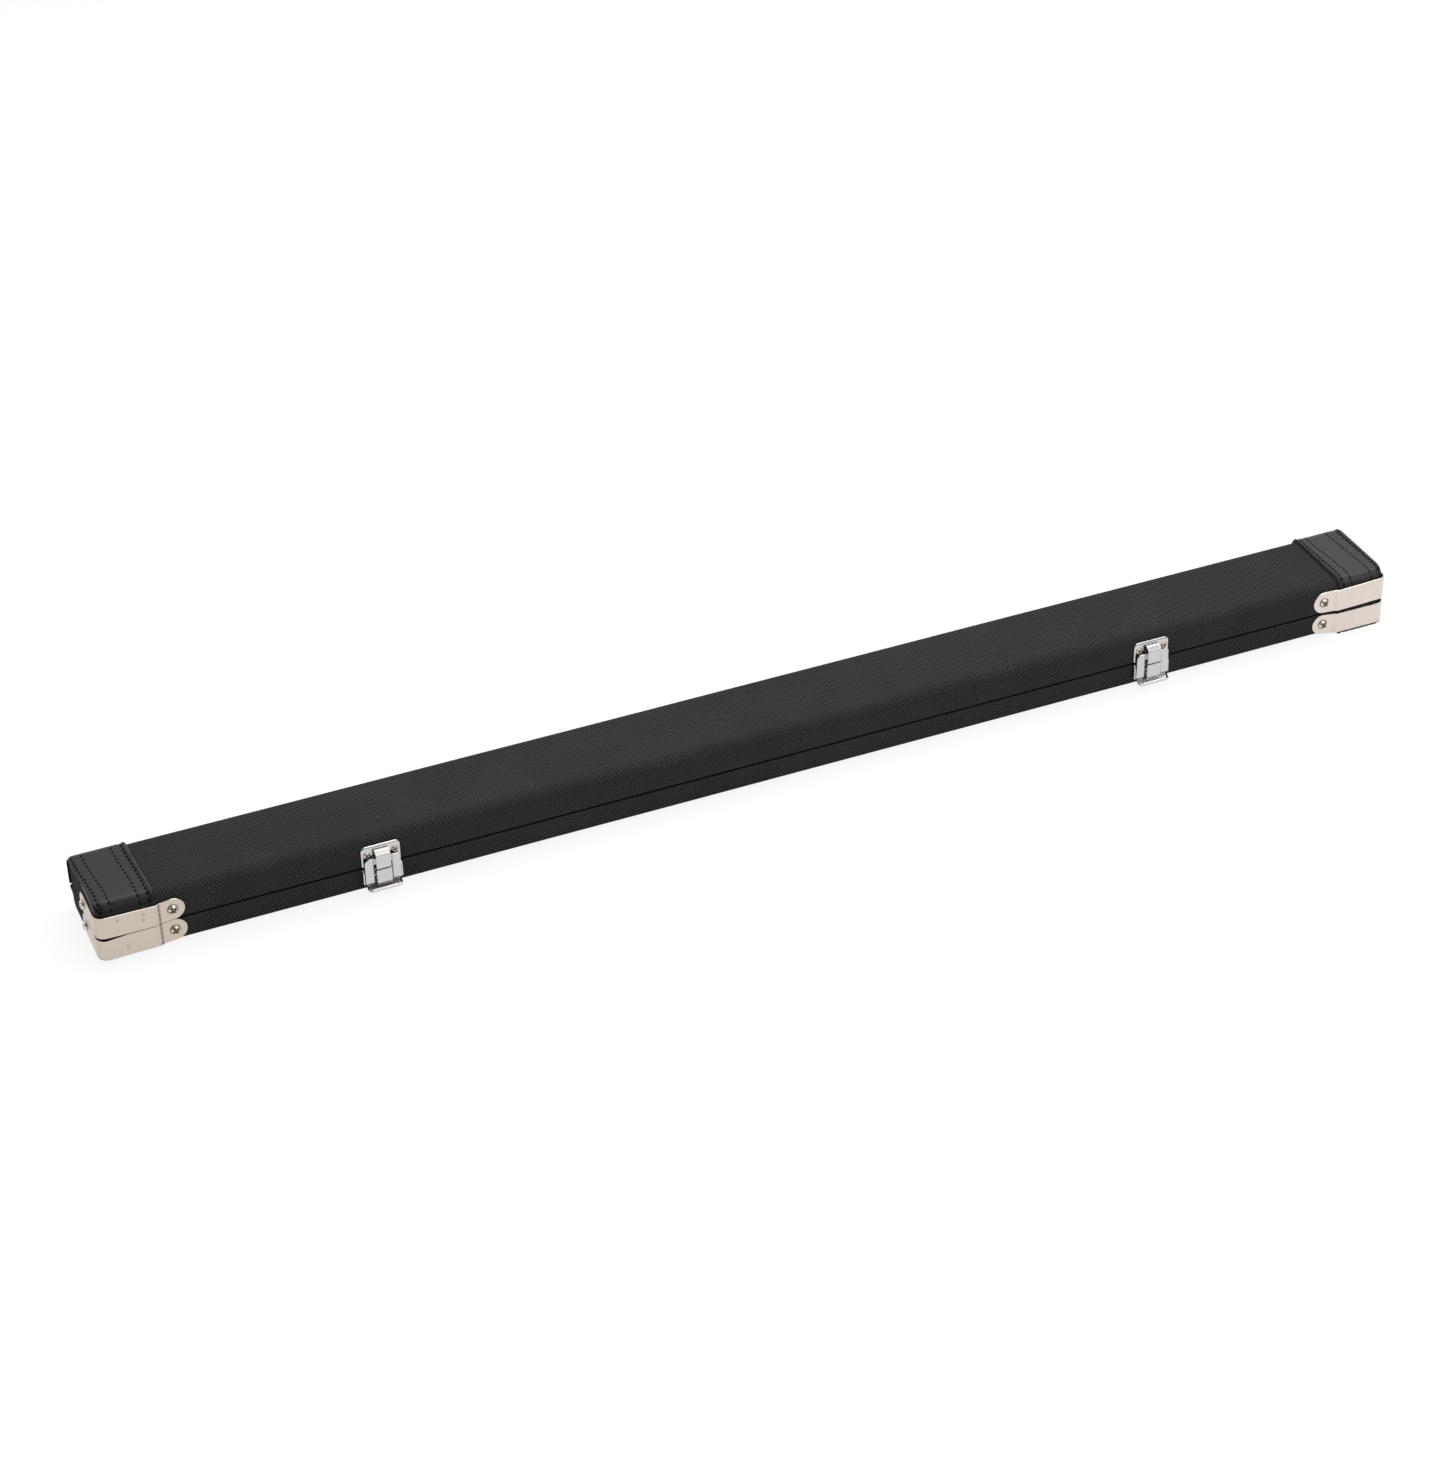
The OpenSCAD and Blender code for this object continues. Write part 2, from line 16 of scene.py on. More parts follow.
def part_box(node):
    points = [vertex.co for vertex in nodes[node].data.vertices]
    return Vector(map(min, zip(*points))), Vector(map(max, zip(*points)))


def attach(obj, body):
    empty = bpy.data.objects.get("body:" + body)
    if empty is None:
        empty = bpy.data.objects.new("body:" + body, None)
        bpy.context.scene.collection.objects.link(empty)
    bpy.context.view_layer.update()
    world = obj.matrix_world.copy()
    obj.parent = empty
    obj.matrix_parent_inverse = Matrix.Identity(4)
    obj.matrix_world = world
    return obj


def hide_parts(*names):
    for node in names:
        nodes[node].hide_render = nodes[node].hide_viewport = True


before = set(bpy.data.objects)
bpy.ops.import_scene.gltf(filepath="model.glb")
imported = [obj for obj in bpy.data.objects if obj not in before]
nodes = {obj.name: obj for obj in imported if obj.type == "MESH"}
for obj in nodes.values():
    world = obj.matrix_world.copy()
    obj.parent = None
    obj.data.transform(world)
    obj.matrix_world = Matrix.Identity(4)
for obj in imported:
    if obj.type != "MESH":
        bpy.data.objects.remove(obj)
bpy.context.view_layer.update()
MM = 0.001

# %% [markdown]
# ## Arrays into meshes
# Every new piece is worked out as arrays of points, in millimetres, and of faces that
# name them. A loop over vertices would be slow and hard to read, so the helpers below
# number a whole grid of quads at once and hand it to Blender in one call. A few curves
# turn up in many pieces, so a smooth step, a quarter round and a bell get a name too.


# %% Quads of a grid
def grid_quads(rows, cols, close=False):
    """Quads between neighbours of a grid of points numbered row by row. With close, the
    last column joins the first."""
    row = np.arange(rows - 1)[:, None] * cols
    col = np.arange(cols if close else cols - 1)
    beside = (col + 1) % cols
    corners = [row + col, row + beside, row + cols + beside, row + cols + col]
    return np.stack(corners, -1).reshape(-1, 4)


def slab_quads(rows, cols):
    """Quads of two equal grids of points, numbered one after the other, and of the rim
    between their outlines."""
    count = rows * cols
    number = np.arange(count).reshape(rows, cols)
    rim = np.concatenate([number[:-1, 0], number[-1, :-1], number[:0:-1, -1], number[0, :0:-1]])
    ahead = np.roll(rim, -1)
    sides = np.stack([rim, ahead, ahead + count, rim + count], -1)
    quads = grid_quads(rows, cols)
    return np.concatenate([quads[:, ::-1], quads + count, sides])


# %% Joining parts and making pieces
def join(parts):
    """Several (points, faces) pairs as one pair: each part's numbers start after the last."""
    starts = np.cumsum([0] + [len(points) for points, _ in parts[:-1]])
    points = np.concatenate([points for points, _ in parts])
    return points, np.concatenate([faces + start for (_, faces), start in zip(parts, starts)])


def face_outwards(points, faces):
    """Turns every quad round if the volume that they enclose, seen from their middle, is
    negative: the sum of each quad's corner times the cross product of its sides."""
    a, b, c, d = (points[faces[:, k]] - points.mean(0) for k in range(4))
    volume = np.sum(a * np.cross(b, c)) + np.sum(a * np.cross(c, d))
    return faces if volume > 0 else faces[:, ::-1]


def make_piece(
    name, points, faces, body, finish, stands_for=(), corner_uv=None, marks=None, sharp=40
):
    """A mesh object from points in mm that rides on a CAD body, with smooth shading that
    breaks at edges sharper than the given angle."""
    mesh = bpy.data.meshes.new(name)
    mesh.from_pydata((points * MM).tolist(), [], faces if isinstance(faces, list) else faces.tolist())
    if corner_uv is not None:
        mesh.uv_layers.new(name="flat").data.foreach_set("uv", corner_uv.astype(np.float32).ravel())
    for key, values in (marks or {}).items():
        mesh.attributes.new(key, "FLOAT", "POINT").data.foreach_set("value", values.astype(np.float32))
    mesh.shade_smooth()
    mesh.set_sharp_from_angle(angle=math.radians(sharp))
    mesh.materials.append(finish)
    made = bpy.data.objects.new(name, mesh)
    bpy.context.scene.collection.objects.link(made)
    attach(made, body)
    if stands_for:
        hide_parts(*stands_for)
    print(f"{name}: {len(mesh.vertices)} points, {len(mesh.polygons)} faces")
    return made


# %% Helpers for formulas
def unit(t):
    """t held between 0 and 1."""
    return np.clip(t, 0, 1)


def smooth(t):
    """A smooth step from 0 to 1: three t squared less two t cubed."""
    t = unit(t)
    return t * t * (3 - 2 * t)


def quarter_round(t):
    """A quarter circle from 0 to 1: the root of one less the square of one less t."""
    return np.sqrt(1 - (1 - unit(t)) ** 2)


def hump(t, at, spread):
    """A bell that is 1 at a place: e to the minus square of the distance in spreads."""
    return np.exp(-(((t - at) / spread) ** 2))


def corner_cut(away, r):
    """What a rounded corner of radius r takes off an edge, away mm from the edge's end."""
    return r - np.sqrt(r**2 - np.clip(r - away, 0, r) ** 2)


def normalised(ways):
    """Vectors at length 1."""
    return ways / np.linalg.norm(ways, axis=-1, keepdims=True)


def in_mm(box):
    """A box's lowest and highest corner as arrays in mm."""
    return [np.array(corner) / MM for corner in box]


# %% [markdown]
# ## Nodes for the finishes
# A finish is a small graph of shader nodes. Short helpers keep it readable: one adds a
# node and wires its inputs, and another opens a group with named sockets, so that an
# effect such as the weave or the wear of plating is built once and used where it belongs.


# %% Adding and wiring nodes
def wire(tree, kind, inputs=None, **settings):
    """Adds a node, sets its properties, and links or sets each named input."""
    made = tree.nodes.new("ShaderNode" + kind)
    for key, value in settings.items():
        setattr(made, key, value)
    for key, value in (inputs or {}).items():
        if isinstance(value, bpy.types.NodeSocket):
            tree.links.new(value, made.inputs[key])
        else:
            made.inputs[key].default_value = value
    return made


def math_node(tree, operation, *values):
    """The result of one Math node on sockets or numbers."""
    return wire(tree, "Math", dict(enumerate(values)), operation=operation).outputs[0]


def times(tree, first, second):
    """The product of two sockets or numbers."""
    return math_node(tree, "MULTIPLY", first, second)


def ramp(tree, value, low, high, to_low=0.0, to_high=1.0):
    """A value carried from one range to another along a smooth step."""
    ranges = {"From Min": low, "From Max": high, "To Min": to_low, "To Max": to_high}
    made = wire(tree, "MapRange", {"Value": value, **ranges}, interpolation_type="SMOOTHSTEP")
    return made.outputs["Result"]


def mix_colour(tree, share, first, second):
    """Two colours mixed by a share from 0 to 1."""
    return wire(tree, "Mix", {0: share, 6: first, 7: second}, data_type="RGBA").outputs[2]


def grey(value, warm=0.0):
    """An opaque grey, made a little warmer or cooler."""
    return (value * (1 + warm), value, value * (1 - warm), 1.0)


# %% Places, marks and patterns
def object_place(tree):
    """Where a point lies on its piece."""
    return wire(tree, "TexCoord").outputs["Object"]


def axes_of(tree, vector):
    """A vector's three coordinates, or a colour's three shares."""
    return wire(tree, "SeparateXYZ", {0: vector}).outputs


def mark(tree, name):
    """A value that the mesh holds for each of its points."""
    return wire(tree, "Attribute", attribute_name=name).outputs["Fac"]


def noise(tree, place, scale, detail, rough=0.5):
    """Cloudy noise from 0 to 1."""
    inputs = {"Vector": place, "Scale": scale, "Detail": detail, "Roughness": rough}
    return wire(tree, "TexNoise", inputs).outputs[0]


def cells(tree, place, scale, feature="F1"):
    """Outputs of a net of cells, such as the distance to a core or to an edge."""
    return wire(tree, "TexVoronoi", {"Vector": place, "Scale": scale}, feature=feature).outputs


# %% Helpers for groups and materials
def open_group(name, takes, gives):
    """A shader node group with its named inputs and outputs, and its two end nodes."""
    group = bpy.data.node_groups.new(name, "ShaderNodeTree")
    for key, kind in takes.items():
        group.interface.new_socket(key, in_out="INPUT", socket_type="NodeSocket" + kind)
    for key in gives:
        group.interface.new_socket(key, in_out="OUTPUT", socket_type="NodeSocketFloat")
    return group, group.nodes.new("NodeGroupInput").outputs, group.nodes.new("NodeGroupOutput").inputs


def give(group, gives, **values):
    """Links values to the outputs of a group."""
    for key, value in values.items():
        group.links.new(value, gives[key])


def use_group(tree, group, inputs):
    """The outputs of a group placed in a material with its own values."""
    return wire(tree, "Group", inputs, node_tree=group).outputs


def new_finish(name, **values):
    """A material with its Principled BSDF, whose plain values are set by socket name."""
    finish = bpy.data.materials.new(name)
    finish.use_nodes = True
    shader = finish.node_tree.nodes["Principled BSDF"]
    for key, value in values.items():
        shader.inputs[key.replace("_", " ")].default_value = value
    print("finish:", name)
    return finish, finish.node_tree, shader


def dress(tree, shader, height, strength, depth, **sockets):
    """Feeds the shader's named sockets, and its normal from a bump of that height."""
    bump = wire(tree, "Bump", {"Height": height, "Strength": strength, "Distance": depth})
    for key, value in {**sockets, "Normal": bump.outputs[0]}.items():
        tree.links.new(value, shader.inputs[key.replace("_", " ")])


# %% [markdown]
# ## Weave, drift, grain and plating as groups
# Woven nylon is a chequer of short thread humps, one set lying along the case and the
# other across it. Old cloth and leather drift in tone and catch specks. Leather grain is
# a net of small cells. Plating has fine scratches, cloudy tarnish and a few rust specks.
# Each is a formula on the surface: the weave reads the piece's own UV map, which follows
# the cloth round the edges, and the others read Object coordinates.


# %% Plain weave
def build_weave():
    """Plain weave: with s = sin(pi u / pitch) and t = sin(pi v / pitch), the warp lies on
    top where s t is positive. The height is |s| on a warp hump and |t| on a weft hump."""
    takes = {"Along": "Vector", "Pitch": "Float"}
    group, takes, gives = open_group("plain_weave", takes, ["Height", "Over"])
    waves = []
    for across in list(axes_of(group, takes["Along"]))[:2]:
        turns = math_node(group, "DIVIDE", times(group, across, math.pi), takes["Pitch"])
        waves.append(math_node(group, "SINE", turns))
    over = ramp(group, times(group, *waves), -0.12, 0.12)
    warp, weft = (math_node(group, "ABSOLUTE", wave) for wave in waves)
    lift = wire(group, "Mix", {0: over, 2: weft, 3: warp}, data_type="FLOAT").outputs[0]
    give(group, gives, Height=lift, Over=over)
    return group


# %% Drift and specks
def build_drift():
    """Slow cloudy change over a surface, and rare small specks: a low noise, and the cores
    of far-apart cells."""
    takes = {"Place": "Vector", "Clouds": "Float", "Specks": "Float", "Speck Size": "Float"}
    group, takes, gives = open_group("drift_and_specks", takes, ["Cloud", "Speck"])
    cloud = noise(group, takes["Place"], takes["Clouds"], 5.0, 0.6)
    net = cells(group, takes["Place"], takes["Specks"])
    core = math_node(group, "LESS_THAN", net["Distance"], takes["Speck Size"])
    rare = math_node(group, "GREATER_THAN", axes_of(group, net["Color"])[0], 0.72)
    give(group, gives, Cloud=cloud, Speck=times(group, core, rare))
    return group


# %% Leather grain
def build_grain():
    """Leather grain: distance to the nearest cell edge of a fine net, with pores of noise."""
    group, takes, gives = open_group("leather_grain", {"Place": "Vector", "Cells": "Float"}, ["Height"])
    net = cells(group, takes["Place"], takes["Cells"], "DISTANCE_TO_EDGE")
    pores = noise(group, takes["Place"], times(group, takes["Cells"], 2.3), 3.0)
    pads = times(group, ramp(group, net["Distance"], 0.0, 0.25), 0.7)
    give(group, gives, Height=math_node(group, "ADD", pads, times(group, pores, 0.5)))
    return group


# %% Plating
def build_plating():
    """Plated sheet: fine scratches are noise stretched along the strip, tarnish is slow
    noise, and rust specks are the cores of rare small cells, each of its own size."""
    takes = {"Place": "Vector", "Specks": "Float"}
    group, takes, gives = open_group("plating", takes, ["Scratch", "Tarnish", "Rust"])
    stretched = wire(group, "Mapping", {0: takes["Place"], 3: (60.0, 400.0, 1500.0)}).outputs[0]
    net = cells(group, takes["Place"], takes["Specks"])
    chance, size, _ = axes_of(group, net["Color"])
    core = math_node(group, "LESS_THAN", net["Distance"], times(group, size, 0.075))
    rust = times(group, core, math_node(group, "GREATER_THAN", chance, 0.93))
    scratch = noise(group, stretched, 1.0, 4.0, 0.7)
    tarnish = noise(group, takes["Place"], 38.0, 6.0, 0.65)
    give(group, gives, Scratch=scratch, Tarnish=tarnish, Rust=rust)
    return group


# %% Build the groups
weave_group, drift_group = build_weave(), build_drift()
grain_group, plating_group = build_grain(), build_plating()
print("node groups:", [g.name for g in (weave_group, drift_group, grain_group, plating_group)])


def drifting(tree, clouds, specks, speck_size):
    """The drift group on a piece's Object coordinates."""
    inputs = {"Place": object_place(tree), "Clouds": clouds, "Specks": specks, "Speck Size": speck_size}
    return use_group(tree, drift_group, inputs)


# %% [markdown]
# ## Woven nylon
# The cover is a coarse black nylon, dull, with a pattern that reads as fine slanting
# lines on top and as a chequer on the front. A photograph of cloth would fix the light
# into it, so the threads are a real bump with a small change of tone, and the gaps
# between them are painted shade.

# %% Finish of the cover
THREAD_PITCH = 1.8


def woven_finish():
    """Dark grey where the warp lies on top and darker on the weft, with painted shade, near
    black, in the gaps between threads, slow fading and a few specks of lint, and painted
    shade, near black, inside the fold at the rim, which darkens the parting line."""
    finish, tree, shader = new_finish("woven_nylon", Specular_IOR_Level=0.06)
    flat = wire(tree, "UVMap", uv_map="flat").outputs[0]
    weave = use_group(tree, weave_group, {"Along": flat, "Pitch": THREAD_PITCH * MM})
    drift = drifting(tree, 22.0, 95.0, 0.035)
    thread = mix_colour(tree, weave["Over"], grey(0.015, 0.01), grey(0.044, 0.01))
    # painted shade: where the weave is low, in the gaps between threads, the colour goes near black
    groove = mix_colour(tree, ramp(tree, weave["Height"], 0.05, 0.7), grey(0.004), thread)
    fade = ramp(tree, drift["Cloud"], 0.35, 0.75, 0.0, 0.16)
    faded = mix_colour(tree, fade, groove, grey(0.05, 0.03))
    lint = mix_colour(tree, times(tree, drift["Speck"], 0.6), faded, grey(0.35))
    # painted shade: the cloth inside the fold goes near black, which darkens the parting line
    colour = mix_colour(tree, mark(tree, "fold"), lint, grey(0.003))
    rough = ramp(tree, weave["Over"], 0.0, 1.0, 0.92, 0.78)
    dress(tree, shader, weave["Height"], 0.45, 0.5 * MM, Base_Color=colour, Roughness=rough)
    return finish


woven = woven_finish()

# %% [markdown]
# ## The outside of each half
# The lid and the base are both a cross-section carried along the case: a wall, a rounded
# long edge, the flat, and the same again behind. At the ends the section narrows in a
# quarter circle, which makes the upright corners, and its flat drops in a smaller one.
# One formula gives the cloth, and with some growth the leather over it, so the two can
# never cross.

# %% Sizes taken from the frame
lid_low, lid_high = in_mm(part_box("lid_cover"))
base_low, base_high = in_mm(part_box("base_cover"))
HALF_L, HALF_W = lid_high[0], lid_high[1]
CORNER_R, BACK_R, BACK_LEFT_R, END_R, FOLD = 10.0, 6.0, 3.5, 3.0, 1.2
LID = {"rim": lid_low[2], "face": lid_high[2], "r": 10.5, "up": 1}
BASE = {"rim": base_high[2], "face": base_low[2], "r": 6.0, "up": -1}
HALVES = {"lid": LID, "base": BASE}
PART_Z = (lid_low[2] + base_high[2]) / 2
print("half length, half width, parting height in mm:", np.round([HALF_L, HALF_W, PART_Z], 2).tolist())


# %% The formula of the outside
def run_lengths(half):
    """Half the flat, the long edge's arc and the wall, measured along the section."""
    wall = abs(half["face"] - half["rim"]) - half["r"] - FOLD
    return HALF_W - half["r"], half["r"] * math.pi / 2, wall


def outside(x, v, grow, half):
    """Points of a half's outside at x, v mm from the middle of its flat (negative towards
    the front), moved outwards by grow. Half-width: the corner centre's line plus the root
    of the corner circle at x. Height of the flat: the same with the end's small circle."""
    flat, arc, wall = run_lengths(half)
    r, up = half["r"] + grow, half["up"]
    corner = np.where(v < 0, CORNER_R, np.where(x < 0, BACK_LEFT_R, BACK_R))
    into_corner = np.clip(np.abs(x) - HALF_L + corner, 0, None)
    into_end = np.clip(np.abs(x) - HALF_L + END_R, 0, None)
    half_w = HALF_W - corner + np.sqrt(np.maximum((corner + grow) ** 2 - into_corner**2, 0))
    face = half["face"] + up * (np.sqrt(np.maximum((END_R + grow) ** 2 - into_end**2, 0)) - END_R)
    away = np.abs(v)
    turn = unit((away - flat) / arc) * math.pi / 2
    down = unit((away - flat - arc) / wall)
    centre = face - up * r
    y = np.where(away < flat, away / flat * (half_w - r), half_w - r + r * np.sin(turn))
    z = centre + up * r * np.cos(turn)
    z = z + down * (half["rim"] + up * FOLD - centre)
    return np.stack(np.broadcast_arrays(x, np.sign(v) * y, z), -1)


def section_stops(half, step):
    """Places along the section about step mm apart, with the long edges always even."""
    flat, arc, wall = run_lengths(half)
    runs = [(0, flat), (flat, flat + arc), (flat + arc, flat + arc + wall)]
    away = np.concatenate([np.linspace(a, b, max(int((b - a) / step), 6) + 1)[1:] for a, b in runs])
    return np.concatenate([-away[::-1], [0], away])


# %% [markdown]
# The cloth turns over the rim of the board and is glued inside, so the rim needs a fold:
# rings that follow the plan outline, each a little further in. The outline is a core
# rectangle plus the corner radius along a direction, so an inset ring only shortens that
# radius. The end panels close the sheet: rings of the end section shrunk to its middle.

# %% The rim
END_STOPS = 8
TURNED_IN, TURNED_UP, CLOTH_SINK = 4.9, 2.5, 0.06


def rim_loop(x):
    """The plan outline of the rim as points and outward ways: the front and the back edge
    at each x, where the corner's angle is the arcsine of the way into it, and the ends."""
    edges = []
    for side, r in ((-1, CORNER_R), (1, np.where(x < 0, BACK_LEFT_R, BACK_R))):
        lean = np.arcsin(unit((np.abs(x) - HALF_L + r) / r)) * np.sign(x)
        way = np.stack([np.sin(lean), side * np.cos(lean)], -1)
        edges.append((np.stack([x, side * (HALF_W - r + r * np.cos(lean))], -1), way))
    y = np.linspace(CORNER_R - HALF_W, HALF_W - BACK_R, END_STOPS + 2)[1:-1]
    end = np.stack([np.full(END_STOPS, HALF_L), y], -1)
    ahead = np.tile([1.0, 0.0], (END_STOPS, 1))
    (front, front_way), (back, back_way) = edges
    points = np.concatenate([front, end, back[::-1], (end * [-1, 1])[::-1]])
    return points, np.concatenate([front_way, ahead, back_way[::-1], -ahead])


def rim_fold(x, half):
    """Rings round the rim: a quarter circle inwards, then along the board's edge and up its
    inside. Returns points, faces, flat coordinates, and a painted-shade mark that rises
    round the bend and is 1 inside the fold."""
    loop, way = rim_loop(x)
    bend = np.radians(np.linspace(0, 90, 6))
    inset = np.append(FOLD * (1 - np.cos(bend)), [TURNED_IN, TURNED_IN])
    lift = np.append(FOLD * (1 - np.sin(bend)) - CLOTH_SINK * np.sin(bend), [-CLOTH_SINK, TURNED_UP])
    rings = loop[None] - inset[:, None, None] * way[None]
    height = (half["rim"] + half["up"] * lift)[:, None, None]
    points = np.concatenate([rings, np.broadcast_to(height, rings.shape[:2] + (1,))], -1)
    # painted-shade mark for the fold: rises round the bend and is 1 on the turned-in part
    fold_shade = np.repeat(unit(1.4 * np.append(np.sin(bend), [1, 1])), len(loop))
    quads = grid_quads(len(inset), len(loop), close=True)
    return points.reshape(-1, 3), quads, rings.reshape(-1, 2), fold_shade


# %% The end panels
def end_panel(ring, x, half):
    """Rings of the end section, closed along the rim, at shrinking shares of their distance
    to its middle. Returns points, faces and flat coordinates."""
    middle = np.array([0, (half["rim"] + half["face"]) / 2])
    back = np.linspace(ring[-1, 0], ring[0, 0], END_STOPS + 2)[1:-1]
    rim_z = np.full(END_STOPS, half["rim"] + half["up"] * FOLD)
    ring = np.concatenate([ring, np.stack([back, rim_z], -1)])
    share = np.array([1, 0.93, 0.8, 0.6, 0.35, 0.01])[:, None, None]
    spread = middle + share * (ring - middle)
    points = np.concatenate([np.full(spread.shape[:2] + (1,), x), spread], -1)
    quads = grid_quads(len(share), len(ring), close=True)
    return points.reshape(-1, 3), quads, spread.reshape(-1, 2) + [x, 0]


# %% The shape of a cover
SLACK, CORNER_STOPS, STRAIGHT_STOPS, SECTION_STEP = 0.07, 13, 90, 5


def cover_shape(half):
    """Sheet over the section, with slow waves of slack that end at its edges, two end panels
    and the fold at the rim. Returns points, faces, flat coordinates for the weave, which run
    along the arc at the corners, and a painted-shade mark that is 1 inside the fold."""
    turn = np.radians(np.linspace(0, 90, CORNER_STOPS))
    core = HALF_L - CORNER_R
    end, along_end = core + CORNER_R * np.sin(turn), core + CORNER_R * turn
    straight = np.linspace(-core, core, STRAIGHT_STOPS)[1:-1]
    x = np.concatenate([-end[::-1], straight, end])
    run = np.concatenate([-along_end[::-1], straight, along_end])
    v = section_stops(half, SECTION_STEP)
    across = x[:, None]
    soft = SLACK * np.sin(across / 61 + np.sin(v / 17)) * np.cos(v / 29 + across / 143)
    soft = soft * unit((core - np.abs(across)) / 40) * unit((v[-1] - np.abs(v)) / 6)
    sheet = outside(across, v[None, :], soft, half)
    flat = np.stack(np.broadcast_arrays(run[:, None], v[None, :]), -1).reshape(-1, 2)
    parts = [(sheet.reshape(-1, 3), grid_quads(len(x), len(v)), flat)]
    parts += [end_panel(sheet[row][:, 1:], x[row], half) for row in (0, -1)]
    *rim, fold_shade = rim_fold(x, half)
    parts.append(rim)
    points, faces = join([part[:2] for part in parts])
    flats = np.concatenate([part[2] for part in parts])
    return points, faces, flats, np.pad(fold_shade, (len(points) - len(fold_shade), 0))


# %% Welding and facing
def weld(points, faces):
    """Points that agree to a hundredth of a millimetre become one. Returns which points
    stay, and the faces with their new numbers."""
    _, first, same = np.unique(np.round(points, 2), axis=0, return_index=True, return_inverse=True)
    return first, same.reshape(-1)[faces]


def facing(points, faces, half, reach=np.inf):
    """Quads turned so that each points away from the middle line of its half, which ends
    reach mm to either side of the case's middle."""
    x = np.clip(points[faces].mean(1)[:, 0], -reach, reach)
    middle = np.stack([x, 0 * x, 0 * x + (half["rim"] + half["face"]) / 2], -1)
    a, b, c, d = (points[faces[:, k]] for k in range(4))
    inside = np.sum(np.cross(c - a, d - b) * ((a + c) / 2 - middle), -1) < 0
    return np.where(inside[:, None], faces[:, ::-1], faces)


# %% The woven covers
SPINE_SHORT = 20
for name, half in HALVES.items():
    points, faces, flat, fold_shade = cover_shape(half)
    faces = facing(points, faces, half, HALF_L - SPINE_SHORT)
    kept, shared = weld(points, faces)
    make_piece(
        f"{name}_woven_cover", points[kept], shared, name, woven, [f"{name}_cover"],
        corner_uv=flat[faces] * MM, marks={"fold": fold_shade[kept]}, sharp=50,
    )

# %% [markdown]
# ## Leather bands
# Each band is a strip of soft black leather glued round the end, with its edges rolled
# under and four rows of lock stitch. Its thickness over the cloth is one formula: a body,
# a swelling along each rolled edge, a groove along each row that is deepest under each
# stitch, and a quarter round down to the cloth at the very edge.


# %% Finish of the leather
def leather_finish(name, gloss, tint):
    """Near-black, with cells of grain, a cloudy polish of a faint plum tint, paler places along
    the hems that are partly rub wear and partly painted highlight, and painted shade, near
    black and dull, in the grooves where the thread pulls it in and on the right band's hem."""
    finish, tree, shader = new_finish(name, Specular_IOR_Level=gloss, Specular_Tint=tint)
    grain = use_group(tree, grain_group, {"Place": object_place(tree), "Cells": 1100.0})
    drift = drifting(tree, 45.0, 160.0, 0.02)
    seam = mark(tree, "seam")
    body = mix_colour(tree, ramp(tree, drift["Cloud"], 0.3, 0.75), grey(0.005, 0.02), grey(0.010, 0.02))
    # paler along the hems: partly rub wear, partly a painted highlight on their ridges
    worn_and_highlit = mix_colour(tree, times(tree, mark(tree, "hem_wear_and_highlight"), 0.5), body, grey(0.05))
    # painted shade: the seam mark turns the stitch grooves and the right hem near black
    seam_shaded = mix_colour(tree, seam, worn_and_highlit, grey(0.001))
    polish = ramp(tree, drift["Cloud"], 0.3, 0.8, 0.36, 0.5)
    rough = math_node(tree, "ADD", polish, times(tree, seam, 0.5))
    dress(tree, shader, grain["Height"], 0.22, 0.2 * MM, Base_Color=seam_shaded, Roughness=rough)
    return finish


def thread_finish():
    """Black thread: dark and dull, with the twist as a fine bump."""
    finish, tree, shader = new_finish("black_thread", Roughness=0.95, Specular_IOR_Level=0.02)
    twist = noise(tree, object_place(tree), 2600.0, 2.0)
    colour = mix_colour(tree, twist, grey(0.001), grey(0.005))
    dress(tree, shader, twist, 0.4, 0.2 * MM, Base_Color=colour)
    return finish


FAINT_PLUM, PLUM = (1.0, 0.946, 0.973, 1.0), (1.0, 0.885, 0.933, 1.0)
leathers = {
    "left": leather_finish("black_leather", 0.25, FAINT_PLUM),
    "right": leather_finish("polished_leather", 0.46, PLUM),
}
thread = thread_finish()

# %% [markdown]
# The two bands were cut and sewn by hand, so they differ: in width, in the places of their
# rows, and in how their hems lie. A band's own table holds its side, its width and its
# rows, counted from its outer edge, and one table holds how deep and broad the rows are.

# %% Sizes of the bands, and the right hem
STITCH_PITCH = 5.4
BAND_END = HALF_L - 0.5
BANDS = {"left": (-1, 49.5, (5.6, 14.0, 38.0, 45.3)), "right": (1, 48.5, (4.0, 13.3, 34.4, 42.9))}
GROOVES = ((0.6, 1.0), (0.35, 0.7), (0.35, 0.7), (0.6, 1.0))
LEATHER_T, TOP_FILL, UNDER_FILL, EDGE_R = 1.4, 0.9, 0.3, 1.1
HEM_AT, HEM_SPREAD, HEM_UP = 1.9, 1.2, 0.75
SAG, SAG_AT, SAG_SPREAD = 4.3, 0.56, 0.1


def on_top(v, half):
    """1 on the lid's top, falling to 0 down its long edges, where straps press the leather."""
    flat, arc, _ = run_lengths(half)
    return smooth((flat + 0.9 * arc - np.abs(v)) / (0.7 * arc)) * (half["up"] > 0)


def right_hem(from_in, v, tight, half):
    """What is special to the right band, from_in mm from its inner edge: a thicker inner hem
    with a crease that the stitches scallop, and a sag under the front of the base. Returns
    the extra thickness, and the painted shade on the crease and on the hem beside its ridge,
    with less of it on the ridge."""
    flat, arc, _ = run_lengths(half)
    top = on_top(v, half)
    crease = hump(from_in, 3.2 + 0.9 * tight, 0.6) * top
    dark = unit((4.0 - from_in) / 0.6) * (0.75 - 0.6 * hump(from_in, HEM_AT, 0.6)) * top
    sag = hump(-v, flat + SAG_AT * arc, SAG_SPREAD * arc) * (half["up"] < 0)
    return 0.35 * top * hump(from_in, 2.6, 2.6) - 0.7 * crease + SAG * sag, np.maximum(crease, dark)


